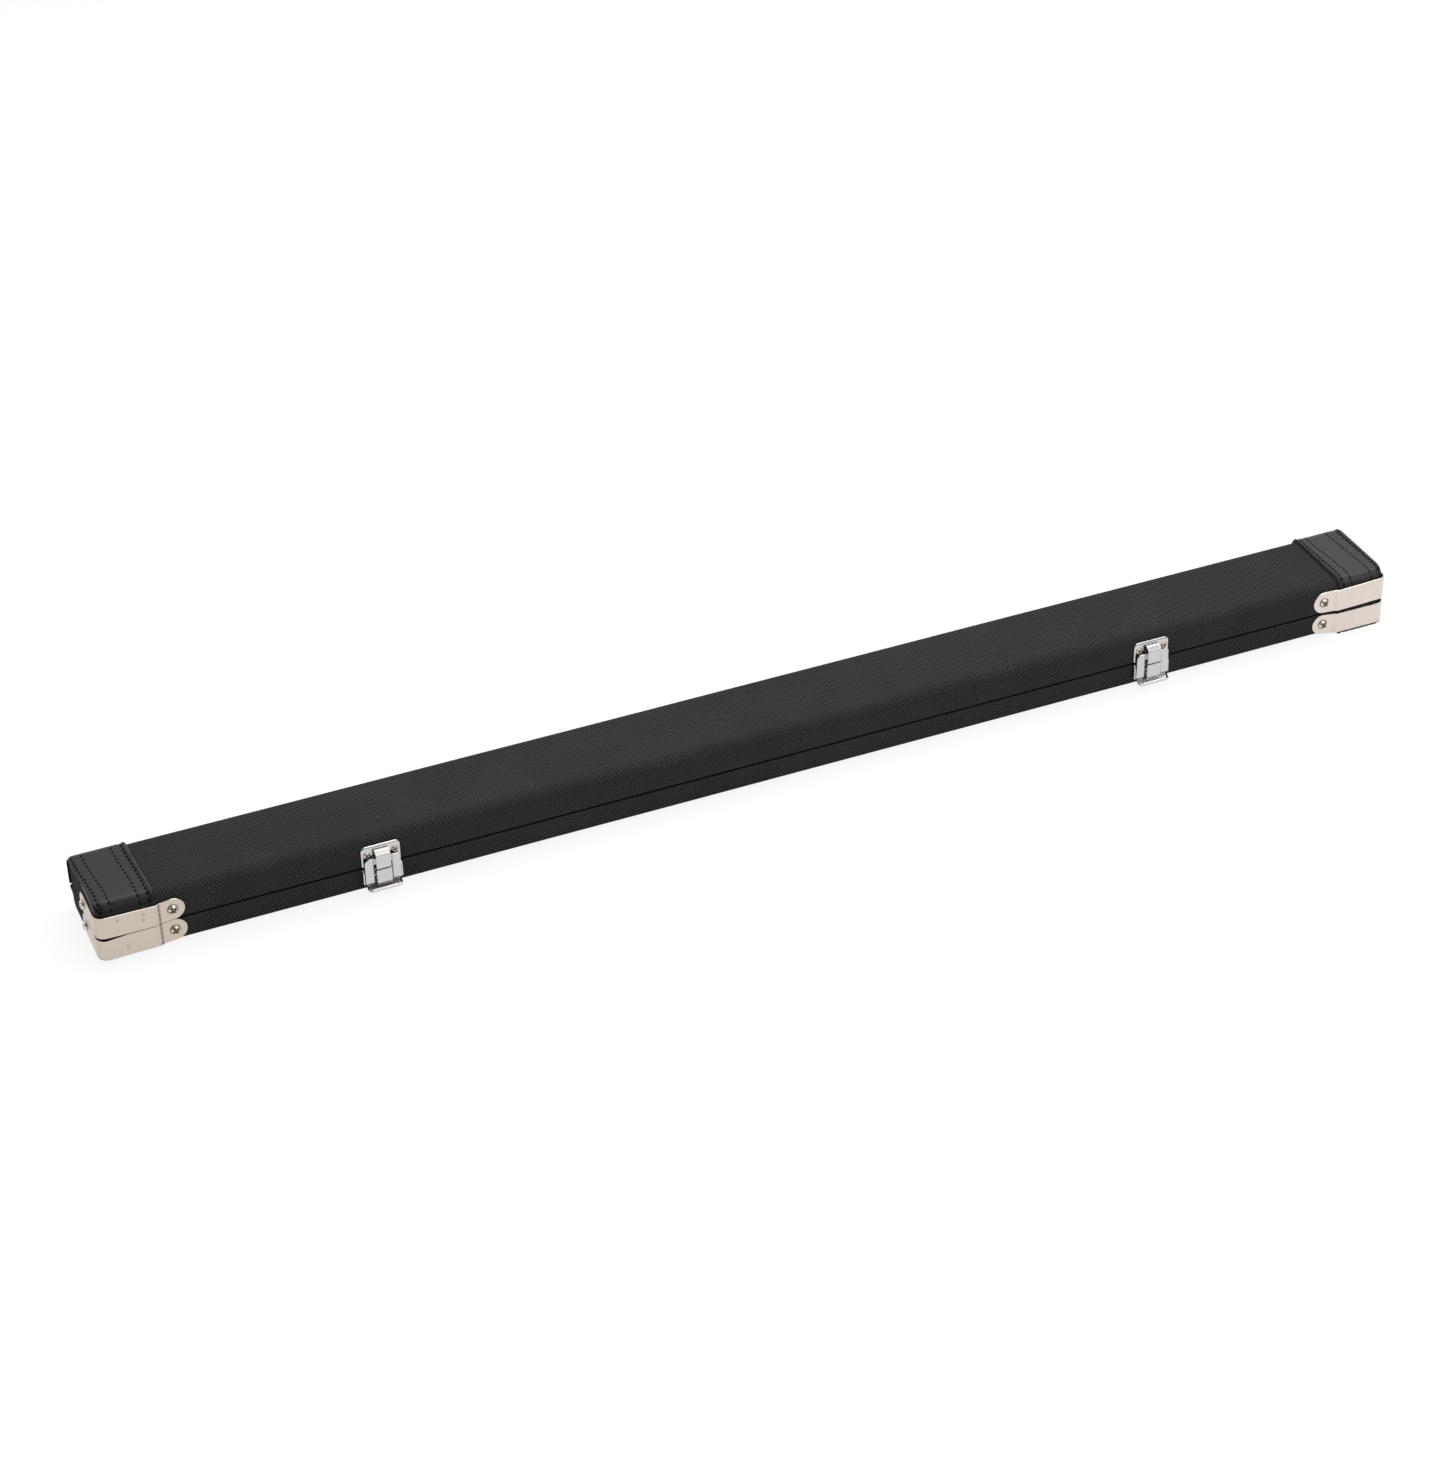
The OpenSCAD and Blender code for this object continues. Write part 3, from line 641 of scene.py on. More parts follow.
# %% The thickness of the leather
def leather_grow(side, inward, v, half):
    """Thickness of the leather, inward mm from its outer edge and v along the section, and
    the painted shade along its stitch rows and on the right hem. A body, a swelling at each
    hem, less a groove at each row that is deepest under each stitch. The right band's rows
    are sunk deeper, and their painted shade is broader and more even."""
    _, width, rows = BANDS[side]
    flat, arc, wall = run_lengths(half)
    to_edge = np.minimum(inward, width - inward)
    top = on_top(v, half)
    under = unit((flat - np.abs(v)) / 4) * (half["up"] < 0)
    swell = (0.06 + HEM_UP * top) * hump(to_edge, HEM_AT, HEM_SPREAD)
    body = LEATHER_T + TOP_FILL * top + UNDER_FILL * under + swell
    body = body + 0.06 * top * np.sin(v / 9.0 + inward / 4.0)
    tight = 0.52 + 0.48 * np.cos(2 * math.pi * v / STITCH_PITCH)
    deep, line, broad = (1.0, tight, 1.0) if side == "left" else (1.4, 0.75 + 0.25 * tight, 1.25)
    # seam collects painted shade: along each stitch row, and on the right band's hem and crease
    seam = np.zeros(np.broadcast(inward, v).shape)
    for row, (depth, spread) in zip(rows, GROOVES):
        body = body - deep * depth * (1 + top) * hump(inward, row, spread) * tight
        seam = np.maximum(seam, hump(inward, row, broad * spread) * line)
    if side == "right":
        extra, dark = right_hem(width - inward, v, tight, half)
        body, seam = body + extra, np.maximum(seam, dark)
    cut = np.minimum(to_edge, flat + arc + wall - np.abs(v))
    return 0.02 + body * quarter_round(cut / EDGE_R), seam


# %% The bands
LEAN, LEAN_SPAN, FLARE = 4.6, 30.0, 2.6
ROLL, ROLL_AT, ROLL_BACK, ROLL_FRONT = 3.4, 2.0, 14.0, 0.3


def band_point(side, inward, v, grow, half):
    """A point of the band. Sewn by hand, its rows lean to the left at the back, by half a
    sine over its width. The left band flares in front, and on top and behind, its outer hem
    rolls out past the end: a quick parabola out and a slow one back."""
    sign, width, _ = BANDS[side]
    back = smooth((v + LEAN_SPAN) / (2 * LEAN_SPAN))
    lean = LEAN * sign * np.sin(math.pi * inward / width) * back
    flare = FLARE * (sign < 0) * (inward / width) ** 8 * (1 - back)
    out = np.where(inward < ROLL_AT, (1 - inward / ROLL_AT) ** 2, unit((inward - ROLL_AT) / ROLL_BACK) ** 2)
    flat, arc, wall = run_lengths(half)
    behind = unit((v - flat - arc) / wall)
    stands = np.where(v > 0, 1, on_top(v, half)) if half["up"] > 0 else behind
    roll = ROLL * (sign < 0) * (1 - out) * stands * (ROLL_FRONT + (1 - ROLL_FRONT) * back)
    return outside(sign * (BAND_END - inward - lean - flare + roll), v, grow, half)


def band_shape(side, half):
    """The band's outer face on a grid that is finer at its edges and stitch rows. Returns
    points, faces, the hems' mark of rub wear and painted highlight, and the painted shade
    along the rows."""
    _, width, rows = BANDS[side]
    near_row = np.concatenate([row + np.linspace(-1.6, 1.6, 11) for row in rows])
    edge = np.array([0, 0.04, 0.14, 0.3, 0.5, 0.75, 1.0, 1.4, 1.8, 2.2, 2.6, 3.0, 3.4])
    inward = np.concatenate([edge, width - edge, near_row, np.linspace(0, width, 50)])
    inward = np.unique(np.round(inward, 2))[:, None]
    reach = sum(run_lengths(half))
    even = np.linspace(-reach, reach, int(2 * reach / 0.7))
    v = np.unique(np.concatenate([even, reach - edge[:7], edge[:7] - reach]))[None, :]
    grow, seam = leather_grow(side, inward, v, half)
    points = band_point(side, inward, v, grow, half)
    to_edge = np.minimum(inward, width - inward)
    # paler along both hems: partly rub wear, partly a painted highlight on their ridges
    hem_wear_and_highlight = hump(to_edge, 1.6, 0.8) * (0.5 + 0.5 * np.sin(v / 5 + 2 * np.sin(v / 13)))
    quads = grid_quads(*points.shape[:2])
    return points.reshape(-1, 3), quads, {"hem_wear_and_highlight": hem_wear_and_highlight.ravel(), "seam": seam.ravel()}


# %% [markdown]
# A row of lock stitch shows as short grains of black thread, each pulled into its own
# dimple. A bevelled curve for each one would be hundreds of objects, so one grain of a few
# dozen faces is the template, and arrays place all of a band's stitches at once.

# %% The stitches
STITCH_L, STITCH_W, STITCH_H, STITCH_SEAT, ROW_END = 2.0, 0.95, 0.42, 0.15, 3.0
BOLD = (1.0, 0.75, 0.75, 1.0)


def stitch_shape(side, half):
    """Stitches as short grains of thread, three quarters of the pitch long, lying in the
    groove along the section and sinking at both ends. One template, placed by each stitch's
    own tangent, breadth and normal, which come from small steps of the band's formula."""
    count = int((sum(run_lengths(half)) - ROW_END) / STITCH_PITCH)
    row, v = np.meshgrid(BANDS[side][2], np.arange(-count, count + 1) * STITCH_PITCH, indexing="ij")
    bold = np.repeat(BOLD, v.shape[1])
    row, v = row.ravel(), v.ravel()
    seat = leather_grow(side, row, v, half)[0] + STITCH_SEAT
    centre = band_point(side, row, v, seat, half)
    ahead, behind = (band_point(side, row, v + step, seat, half) for step in (0.05, -0.05))
    tangent = normalised(ahead - behind)
    normal = normalised(band_point(side, row, v, seat + 0.1, half) - centre)
    breadth = np.cross(normal, tangent)
    along = np.array([-1, -0.86, -0.45, 0, 0.45, 0.86, 1])[:, None]
    thick = np.array([0.12, 0.62, 0.95, 1, 0.95, 0.62, 0.12])[:, None]
    angle = np.linspace(0, 2 * math.pi, 7)[:-1]
    lead = np.broadcast_to(along * STITCH_L, (7, 6)).ravel()
    wide = (thick * np.cos(angle) * STITCH_W).ravel()
    high = (thick * np.sin(angle) * STITCH_H - 0.5 * np.abs(along) ** 3).ravel()
    points = centre[:, None] + tangent[:, None] * lead[None, :, None]
    points = points + breadth[:, None] * wide[None, :, None] * bold[:, None, None]
    points = points + normal[:, None] * high[None, :, None]
    quads = face_outwards(points[0], grid_quads(7, 6, close=True))
    faces = quads[None] + points.shape[1] * np.arange(len(row))[:, None, None]
    return points.reshape(-1, 3), faces.reshape(-1, 4)


# %% Bands and stitches on both halves
for side in BANDS:
    for name, half in HALVES.items():
        points, faces, marks = band_shape(side, half)
        make_piece(
            f"{name}_leather_{side}", points, facing(points, faces, half), name, leathers[side],
            [f"{name}_band_{side}"], marks=marks, sharp=60,
        )
        points, faces = stitch_shape(side, half)
        make_piece(f"{name}_stitches_{side}", points, faces, name, thread)

# %% [markdown]
# ## Plated sheet metal
# Straps and latch plates are all stamped: a flat blank with slightly rounded edges, bent
# along a line. So one function makes them all. The blank is a grid between two edge lines,
# its half-thickness falls off in a quarter round near the outline, and the bent path then
# carries it. A Bevel modifier on a sharp solid would round the edges too, but it stumbles
# on curved outlines, and the blank follows the real way of making.


# %% Bent lines
def measured(line):
    """A line's points and their length along it."""
    steps = np.linalg.norm(np.diff(line, axis=0), axis=1)
    return line, np.concatenate([[0], np.cumsum(steps)])


def bent_path(corners, radii=(), arc_steps=10):
    """A line through corner points with each corner replaced by an arc: tangent length is
    radius times tan of half the turn. Returns its points and their length along it."""
    corners = np.array(corners, float)
    points = [corners[:1]]
    for before, corner, after, radius in zip(corners, corners[1:], corners[2:], radii):
        a, b = normalised(corner - before), normalised(after - corner)
        turn = math.atan2(a[0] * b[1] - a[1] * b[0], a @ b)
        start = corner - a * radius * math.tan(abs(turn) / 2)
        side = np.array([-a[1], a[0]]) * math.copysign(1, turn)
        angle = np.linspace(0, abs(turn), arc_steps + 1)[:, None]
        points.append(start + radius * (np.sin(angle) * a + (1 - np.cos(angle)) * side))
    return measured(np.concatenate(points + [corners[-1:]]))


def to_outline(s, w, line):
    """Distance of each blank point to the nearest segment of the closed outline."""
    run = np.roll(line, -1, 0) - line
    p = np.stack([s, w], -1)[..., None, :] - line
    share = unit((p * run).sum(-1) / np.maximum((run**2).sum(-1), 1e-12))
    return np.linalg.norm(p - share[..., None] * run, axis=-1).min(-1)


# %% Bent blanks
TIP_STOPS = np.array([0.02, 0.1, 0.25, 0.5, 0.9, 1.5, 2.3, 3.3, 4.5, 6.0, 7.6])
TIP_GAP = 0.02
BEAD_IN, BEAD_SPREAD = 0.8, 0.45


def blank(path, edges, thick, edge, step=2.0, cols=18, bead=0.0, wide=None):
    """A stamped strip: s along the path, w between edges(s) = (low, high). Half-thickness
    is thick / 2 less edge, plus a quarter ellipse, edge high and wide across, within wide of
    the outline, plus a bead that follows the outline a little way in. Returns points as
    (path a, path b, across) and faces."""
    line, length = path
    end = length[-1]
    even = np.linspace(TIP_GAP, end - TIP_GAP, int(end / step) + 2)
    s = np.unique(np.round(np.concatenate([TIP_STOPS, end - TIP_STOPS, length[1:-1], even]), 3))
    s = s[(s > 0.75 * TIP_GAP) & (s < end - 0.75 * TIP_GAP)]
    low, high = edges(s, end)
    share = 0.5 - 0.5 * np.cos(np.linspace(0, math.pi, cols))
    w = low[:, None] + (high - low)[:, None] * share
    outline = np.concatenate([np.stack([s, low], -1), np.stack([s, high], -1)[::-1]])
    inset = to_outline(np.broadcast_to(s[:, None], w.shape), w, outline)
    half = thick / 2 - edge + edge * quarter_round(inset / (wide or edge))
    half = (half + bead * hump(inset, BEAD_IN, BEAD_SPREAD))[..., None]
    place = np.stack([np.interp(s, length, line[:, k]) for k in (0, 1)], -1)
    way = normalised(np.gradient(place, s, axis=0))
    out = np.stack([way[:, 1], -way[:, 0]], -1)[:, None]
    skins = [np.concatenate([place[:, None] + k * half * out, w[..., None]], -1) for k in (1, -1)]
    return np.concatenate([skin.reshape(-1, 3) for skin in skins]), slab_quads(*w.shape)


def round_ends(half_w, start_r, end_r):
    """Edges of a strip that is even on both sides, its corners rounded at each end."""

    def edges(s, end):
        """Half-width less the larger of the two corners' cuts, on both sides."""
        narrow = np.maximum(corner_cut(s, start_r), corner_cut(end - s, end_r))
        return narrow - half_w, half_w - narrow

    return edges


# %% [markdown]
# The straps are satin nickel, warm from age, with fine rub marks, a faint cloud of tarnish
# and a few rust specks. The latches are brighter, their screws have a brassy tint, and the
# other screws are polished nickel. They differ in a few values, so one function makes all.

# %% Finishes of the metal
GRIME_AND_SHADE_BROWN, RUST_BROWN = (0.06, 0.035, 0.02, 1.0), (0.11, 0.05, 0.02, 1.0)


def plated_finish(name, tone, dull, rough, speck_scale, darker_left=0.0):
    """Metal whose tone drifts with tarnish and can be set darker towards the left, whose gloss
    breaks along scratches and dulls where it is marked as satin, and where rust specks, soil
    and painted shade turn it brown and rough."""
    finish, tree, shader = new_finish(name)
    place = object_place(tree)
    plating = use_group(tree, plating_group, {"Place": place, "Specks": speck_scale})
    # this mark holds real dirt and rust, and painted shade at strap steps, in and round screw heads, in the
    # left lip and beside the claw's middle
    grime_and_shade = mark(tree, "grime_and_shade")
    # the tone grows darker towards the left end of the case, by the share given
    left = ramp(tree, axes_of(tree, place)[0], -0.5, 0.5, darker_left, 0.0)
    cloud = times(tree, ramp(tree, plating["Tarnish"], 0.35, 0.75), 0.3)
    body = mix_colour(tree, math_node(tree, "MAXIMUM", left, cloud), tone, dull)
    dirtied_and_shaded = mix_colour(tree, times(tree, grime_and_shade, 0.85), body, GRIME_AND_SHADE_BROWN)
    rusty = mix_colour(tree, plating["Rust"], dirtied_and_shaded, RUST_BROWN)
    soil_and_shade = math_node(tree, "MAXIMUM", plating["Rust"], times(tree, grime_and_shade, 0.7))
    metal = math_node(tree, "SUBTRACT", 1.0, times(tree, soil_and_shade, 0.8))
    gloss = ramp(tree, plating["Scratch"], 0.3, 0.75, rough * 0.92, rough * 1.12)
    gloss = math_node(tree, "ADD", gloss, times(tree, mark(tree, "satin"), 0.35))
    gloss = math_node(tree, "ADD", gloss, times(tree, soil_and_shade, 0.4))
    sockets = {"Base_Color": rusty, "Metallic": metal, "Roughness": gloss}
    dress(tree, shader, plating["Scratch"], 0.008, 0.2 * MM, **sockets)
    return finish


nickel = plated_finish("satin_nickel", (0.74, 0.67, 0.62, 1.0), (0.585, 0.5, 0.43, 1.0), 0.3, 170.0, 0.9)
bright = plated_finish("bright_plate", (0.6, 0.585, 0.58, 1.0), (0.56, 0.545, 0.54, 1.0), 0.2, 60.0)
screw_plate = plated_finish("screw_nickel", (0.74, 0.68, 0.6, 1.0), (0.62, 0.55, 0.47, 1.0), 0.1, 90.0)
brassy = plated_finish("tinted_screw", (0.82, 0.72, 0.58, 1.0), (0.7, 0.58, 0.42, 1.0), 0.14, 90.0)

# %% [markdown]
# ## Corner straps
# A strap starts as a round tab on the cloth, steps up over the band's edge, runs along the
# front and bends round the corner. It was fixed by eye, so each one's height is given
# at five stations, as (low, high) at the tab, the step, half the front leg, the corner and
# the end. Stain with painted shade at the step, a darker end leg and rust are values on
# its points, because they sit at its own bends.

# %% Sizes of the straps
STRAP_T, STRAP_H, BAND_T, BEND_R, TAB_L, STEP_R = 1.2, 21.3, 1.8, 7.0, 26.0, 0.9
LEG_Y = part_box("lid_strap_left")[1].y / MM
STEPS = {"left": (1.6, 5.4), "right": (0.8, 5.6)}
# stain with painted shade along each strap's step, strongest on the left
STEP_STAIN_AND_SHADE = {"left": 1.0, "right": 0.14}
RUST = {("lid", "left"): ((18.0, 41.0), (40.0, 40.4), (39.4, 35.0)), ("base", "left"): ((24.0, 12.0),)}
STRAP_Z = {
    ("lid", "left"): ((26.0, 46.9), (24.95, 45.6), (25.0, 46.0), (25.4, 46.4), (27.0, 47.8)),
    ("base", "left"): ((4.6, 25.7), (3.6, 24.65), (3.2, 24.4), (2.8, 22.8), (4.9, 25.6)),
    ("lid", "right"): ((26.8, 48.8), (26.1, 48.4), (26.65, 49.1), (27.2, 49.8), (26.7, 48.5)),
    ("base", "right"): ((3.9, 24.3), (2.0, 22.8), (1.95, 22.7), (1.9, 22.6), (2.6, 23.4)),
}


# %% Edges and dirt of a strap
def strap_edges(name, side):
    """Long edges that run straight between a strap's stations, with round ends."""
    _, width, _ = BANDS[side]
    front = [STRAP_H / 2, TAB_L - STEPS[side][1], TAB_L + width / 2, TAB_L + width - BEND_R]

    def edges(s, end):
        """Straight between stations, less a half circle at each end."""
        stations = front + [end - STRAP_H / 2]
        low, high = (np.interp(s, stations, heights) for heights in np.transpose(STRAP_Z[name, side]))
        half = (high - low) / 2
        narrow = half * (1 - quarter_round(np.minimum(s, end - s) / half))
        return low + narrow, high - narrow

    return edges


def strap_stain_and_shade(points, name, side):
    """Stain with painted shade at the step, a darker, duller end leg, and round spots of rust."""
    x, y, z = points.T
    front = y < -HALF_W
    step_x = BAND_END - BANDS[side][1] - np.mean(STEPS[side])
    # painted shade with some stain along the step; the end leg is made a little darker and duller
    dirt_and_shade = STEP_STAIN_AND_SHADE[side] * hump(x, step_x, 1.1) * front * (0.8 + 0.2 * np.sin(1.3 * z))
    dirt_and_shade = dirt_and_shade + 0.07 * unit(x - HALF_L + 2)
    for inward, height in RUST.get((name, side), ()):
        away = np.hypot(x - HALF_L + inward, z - height)
        dirt_and_shade = np.maximum(dirt_and_shade, 0.9 * hump(away, 0, 0.9) * front)
    return dirt_and_shade


# %% The corner straps
def strap_shape(name, side):
    """Blank with two round ends, bent over the band's edge and round the corner. Returns
    points, faces, and the mark of stain, painted shade and rust."""
    sign, width, _ = BANDS[side]
    edge, end_x = BAND_END - width, HALF_L + STRAP_T / 2
    start, stop = STEPS[side]
    on_cloth = -HALF_W - STRAP_T / 2
    on_band = on_cloth - BAND_T
    front = [(edge - TAB_L, on_cloth), (edge - stop, on_cloth), (edge - start, on_band)]
    path = bent_path(front + [(end_x, on_band), (end_x, LEG_Y)], [STEP_R, STEP_R, BEND_R + STRAP_T / 2])
    points, faces = blank(path, strap_edges(name, side), STRAP_T, 0.4, step=1.2, cols=20)
    placed = points * [sign, 1, 1]
    return placed, face_outwards(placed, faces), strap_stain_and_shade(points, name, side)


for name, side in STRAP_Z:
    points, faces, dirt_and_shade = strap_shape(name, side)
    make_piece(
        f"{name}_corner_strap_{side}", points, faces, name, nickel,
        [f"{name}_strap_{side}"], marks={"grime_and_shade": dirt_and_shade},
    )

# %% [markdown]
# ## Screws
# Each screw is a low dome with a cross recess. The recess could be cut with a boolean, but
# as a height over a polar grid it gets soft walls and the dirt that collects in it: the
# same depth that lowers a point also marks it as grimy, with painted shade. A thin ring
# round each head carries a painted shadow.

# %% Screw heads
HEAD_COLS = 72
CROSS_W, CROSS_L, CROSS_DEEP = 0.23, 0.68, 0.62
FRONT, BACK, UP = np.array([[0.0, -1.0, 0.0], [0.0, 1.0, 0.0], [0.0, 0.0, 1.0]])


def screw_head(radius, height, turn):
    """Height over the disc: (1 - r to the power 2.6) to the power 0.55, a full dome with a
    steep rim, less a cross of two soft-sided bars, and a thin ring round the head. Returns
    points, faces and a mark of soil with painted shade in the cross, and of painted
    shadow on the ring."""
    ring = np.concatenate([np.linspace(0.012, 0.9, 22), [0.95, 0.985, 1.0, 1.13, 1.15]])[:, None]
    angle = np.linspace(0, 2 * math.pi, HEAD_COLS + 1)[:-1][None, :]
    dome = height * np.maximum(1 - ring**2.6, 0) ** 0.55
    dome[-3:, 0] = 0.06, 0.05, -0.2
    bars = np.abs([ring * np.cos(angle - turn), ring * np.sin(angle - turn)])
    arm = unit((CROSS_W - bars.min(0)) / 0.09 + 0.5) * unit((CROSS_L - bars.max(0)) / 0.16 + 0.5)
    z = dome - CROSS_DEEP * height * arm
    points = np.stack([radius * ring * np.cos(angle), radius * ring * np.sin(angle), z], -1)
    # soil with painted shade in the cross recess, and a painted shadow on the ring round the head
    grime_and_shade = unit(arm * 1.1 + unit(ring - 0.94) * 10)
    return points.reshape(-1, 3), grid_quads(*z.shape, close=True)[:, ::-1], grime_and_shade.ravel()


# %% Sets of screws
def screw_set(name, body, places, size, outward, finish, stands_for):
    """One mesh of several heads, whose size is (radius, height, first turn): each template is
    carried to its place on the axes right, up and outward, and turned by its own angle. A
    cap of one face closes each head's middle."""
    radius, height, turn = size
    parts, grime_and_shade = [], []
    for k, (place, out) in enumerate(zip(places, np.broadcast_to(outward, (len(places), 3)))):
        points, faces, dirt_and_shade = screw_head(radius, height, turn + 0.9 * k)
        parts.append((place + points @ np.array([np.cross(UP, out), UP, out]), faces))
        grime_and_shade.append(dirt_and_shade)
    points, faces = join(parts)
    caps = np.arange(HEAD_COLS) + len(parts[0][0]) * np.arange(len(parts))[:, None]
    marks = {"grime_and_shade": np.concatenate(grime_and_shade)}
    listed = faces.tolist() + caps.tolist()
    make_piece(name, points, listed, body, finish, stands_for, marks=marks, sharp=55)


# %% Screws of the straps
STRAP_SCREW = (4.4, 3.2, 0.5)
for name in HALVES:
    places, ways = [], []
    for side, (sign, width, _) in BANDS.items():
        tab_z, _, _, _, leg_z = np.mean(STRAP_Z[name, side], axis=1)
        tab_x = BAND_END - width - TAB_L + STRAP_H / 2
        places += [(sign * tab_x, -HALF_W - STRAP_T, tab_z)]
        places += [(sign * (HALF_L + STRAP_T), LEG_Y - STRAP_H / 2, leg_z)]
        ways += [FRONT, (sign, 0, 0)]
    screw_set(
        f"{name}_strap_screw_heads", name, places, STRAP_SCREW, ways, screw_plate,
        [f"{name}_strap_screws"],
    )

# %% [markdown]
# ## Draw latches
# A draw latch has a plate on the lid with a ledge, a claw plate with two wings and a raised
# middle that hooks over it, and a lever whose tongue continues that middle and ends in a
# finger lip. All are stamped from bright sheet, so each is a few bent blanks in the latch's
# own axes: along the case, out of its front, and up from the parting line.

# %% Latch axes and strips
LATCH_T, KEEPER_T, PLATE_HALF = 1.2, 1.7, 17.5
LATCH_X = {}
for side in ("left", "right"):
    low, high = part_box(f"keeper_{side}")
    LATCH_X[side] = (low.x + high.x) / 2 / MM
print("latches at x in mm:", {side: round(x, 2) for side, x in LATCH_X.items()})


def at_latch(side, x, u, h):
    """Latch axes to the case's: u goes out of the front and h up from the parting line."""
    return np.stack([LATCH_X[side] + x, -HALF_W - u, PART_Z + h], -1)


def strip(path, edges, thick=LATCH_T, edge=0.42, cols=14, step=1.5, bead=0.0, wide=None):
    """A blank bent in the plane of u and h, as latch points (x, u, h)."""
    points, faces = blank(path, edges, thick, edge, step, cols, bead, wide)
    return points[:, [2, 0, 1]], faces


def side_plate(x, h_low, h_high, low_u, high_u, thick, edge, step=0.8, cols=12):
    """A flat plate that stands out of the case at x, from low_u to high_u(along, end)."""

    def edges(along, end):
        """A level inner edge, and the outer edge that was asked for."""
        return np.full_like(along, low_u), high_u(along, end)

    points, faces = blank(bent_path([(x, h_low), (x, h_high)]), edges, thick, edge, step, cols)
    return points[:, [0, 2, 1]], faces


# %% [markdown]
# The plain blanks of a latch fit one table: a line of places as (out of the front, up), the
# radii of its bends, and its half-width with the corner rounds at its start and its end.

# %% Plain blanks of a latch
MIDDLE_U, WING_U = 8.0, 5.0
SHEETS = {
    "ledge": ([(0.6, 5.5), (3.4, 9.0), (3.4, 11.9)], [1.5], (5.4, 0, 1.2)),
    "hook": ([(MIDDLE_U, 1.3), (MIDDLE_U, 14.8), (4.6, 17.8), (2.1, 17.8)], [0.8, 0.8], (6.6, 0.6, 0.6)),
    "bridge": ([(WING_U, 4.8), (WING_U, 10.6)], [], (8.2, 0, 0)),
    "tongue": ([(MIDDLE_U, 0.2), (MIDDLE_U, -12.9), (6.4, -14.6), (6.0, -17.6)], [0.9, 0.9], (6.8, 0.6, 0.3)),
    "lip": ([(2.2, -17.0), (7.8, -19.2), (10.8, -18.2)], [3.0], (15.6, 0.5, 4.0)),
    "base_plate": ([(0.6, -16.5), (0.6, -0.6)], [], (PLATE_HALF, 3.0, 1.0)),
}


def stamped(name, **more):
    """The named blank of the table, bent."""
    line, radii, ends = SHEETS[name]
    return strip(bent_path(line, radii), round_ends(*ends), **more)


# %% Plates that stand out
CHEEK_IN, CHEEK_OUT, HOOK_FROM, HOOK_SLOPE = 4.5, 8.3, 12.8, 1.13
FLANGE_X, FLANGE_T, FLANGE_OUT, FLANGE_SLOPE, FLANGE_END = 16.8, 1.9, 4.2, 0.9, 2.5
LUG_X, EYE_U, EYE_R = 4.9, 3.4, 1.9


def cheeks(x, h_low, h_high, front_u):
    """The two sides of a raised middle, from the plane of the wings out to front_u."""
    return [side_plate(k * x, h_low, h_high, CHEEK_IN, front_u, LATCH_T, 0.3, 1.0, 8) for k in (-1, 1)]


def level_front(along, end):
    """A cheek's front edge beside the lever's tongue: level."""
    return np.full_like(along, CHEEK_OUT)


def hook_front(along, end):
    """A cheek's front edge beside the claw's hook: level, then falling in a straight line."""
    return CHEEK_OUT - HOOK_SLOPE * np.clip(along - HOOK_FROM, 0, None)


def flange_front(along, end):
    """A flange's front edge: level, then falling in a straight line near its top."""
    return FLANGE_OUT - FLANGE_SLOPE * np.clip(along - end + FLANGE_END, 0, FLANGE_END)


def eye_front(along, end):
    """A lug's front edge: a half circle round the pin."""
    return EYE_U + np.sqrt(np.maximum(EYE_R**2 - (along - end / 2) ** 2, 0))


# %% Wings of the claw
WING_IN, WING_OUT, WING_LOW_R, WING_TOP_R = 8.0, 16.0, 1.5, {-1: 4.6, 1: 2.4}


def wing_edges(side):
    """Edges of a wing, its outer corners rounded: the left one's top corner is a larger round."""

    def edges(along, end):
        """A straight inner edge, and an outer one less both corners' cuts."""
        outer = WING_OUT - corner_cut(end - along, WING_TOP_R[side]) - corner_cut(along, WING_LOW_R)
        inner = np.full_like(along, WING_IN)
        return (inner, outer) if side > 0 else (-outer, -inner)

    return edges


# %% Keeper and claw
def keeper_parts():
    """The lid's plate, whose top follows the lid's long edge in an arc, and its ledge."""
    face_u, low_h, roll_h, roll_r = 0.87, 1.2, 18.3, 11.37
    roll = np.radians(np.linspace(0, 17, 7))[1:]
    curve = np.stack([face_u - roll_r + roll_r * np.cos(roll), roll_h + roll_r * np.sin(roll)], -1)
    path = measured(np.concatenate([[(face_u, low_h), (face_u, roll_h)], curve]))
    plate = strip(path, round_ends(PLATE_HALF, 1.5, 4.5), KEEPER_T, 0.84, 40, 0.8, wide=KEEPER_T)
    return [plate, stamped("ledge")]


def claw_parts():
    """The raised middle that hooks over the ledge, its cheeks, the wings, and a bridge."""
    flat = bent_path([(WING_U, -14.2), (WING_U, 11.2)])
    wings = [strip(flat, wing_edges(k), edge=0.55, cols=16, step=1.0, wide=0.8) for k in (-1, 1)]
    return [stamped("hook", edge=0.5), stamped("bridge")] + cheeks(6.0, 1.6, 17.4, hook_front) + wings


# %% Lever and base plate
CURL_FROM, CURL_OVER, CURL_UP = 12.7, 2.8, 1.0


def lever_parts():
    """The tongue, its cheeks, and the lip: a shallow tray that runs out from behind the
    wings, its front bent up and its sides curled up in a parabola."""
    lip, faces = stamped("lip", edge=0.55, cols=40, step=0.4, bead=0.7)
    lip = lip + unit((np.abs(lip[:, :1]) - CURL_FROM) / CURL_OVER) ** 2 * [0, 0, CURL_UP]
    return [stamped("tongue", edge=0.5), (lip, faces)] + cheeks(6.2, -12.9, -0.1, level_front)


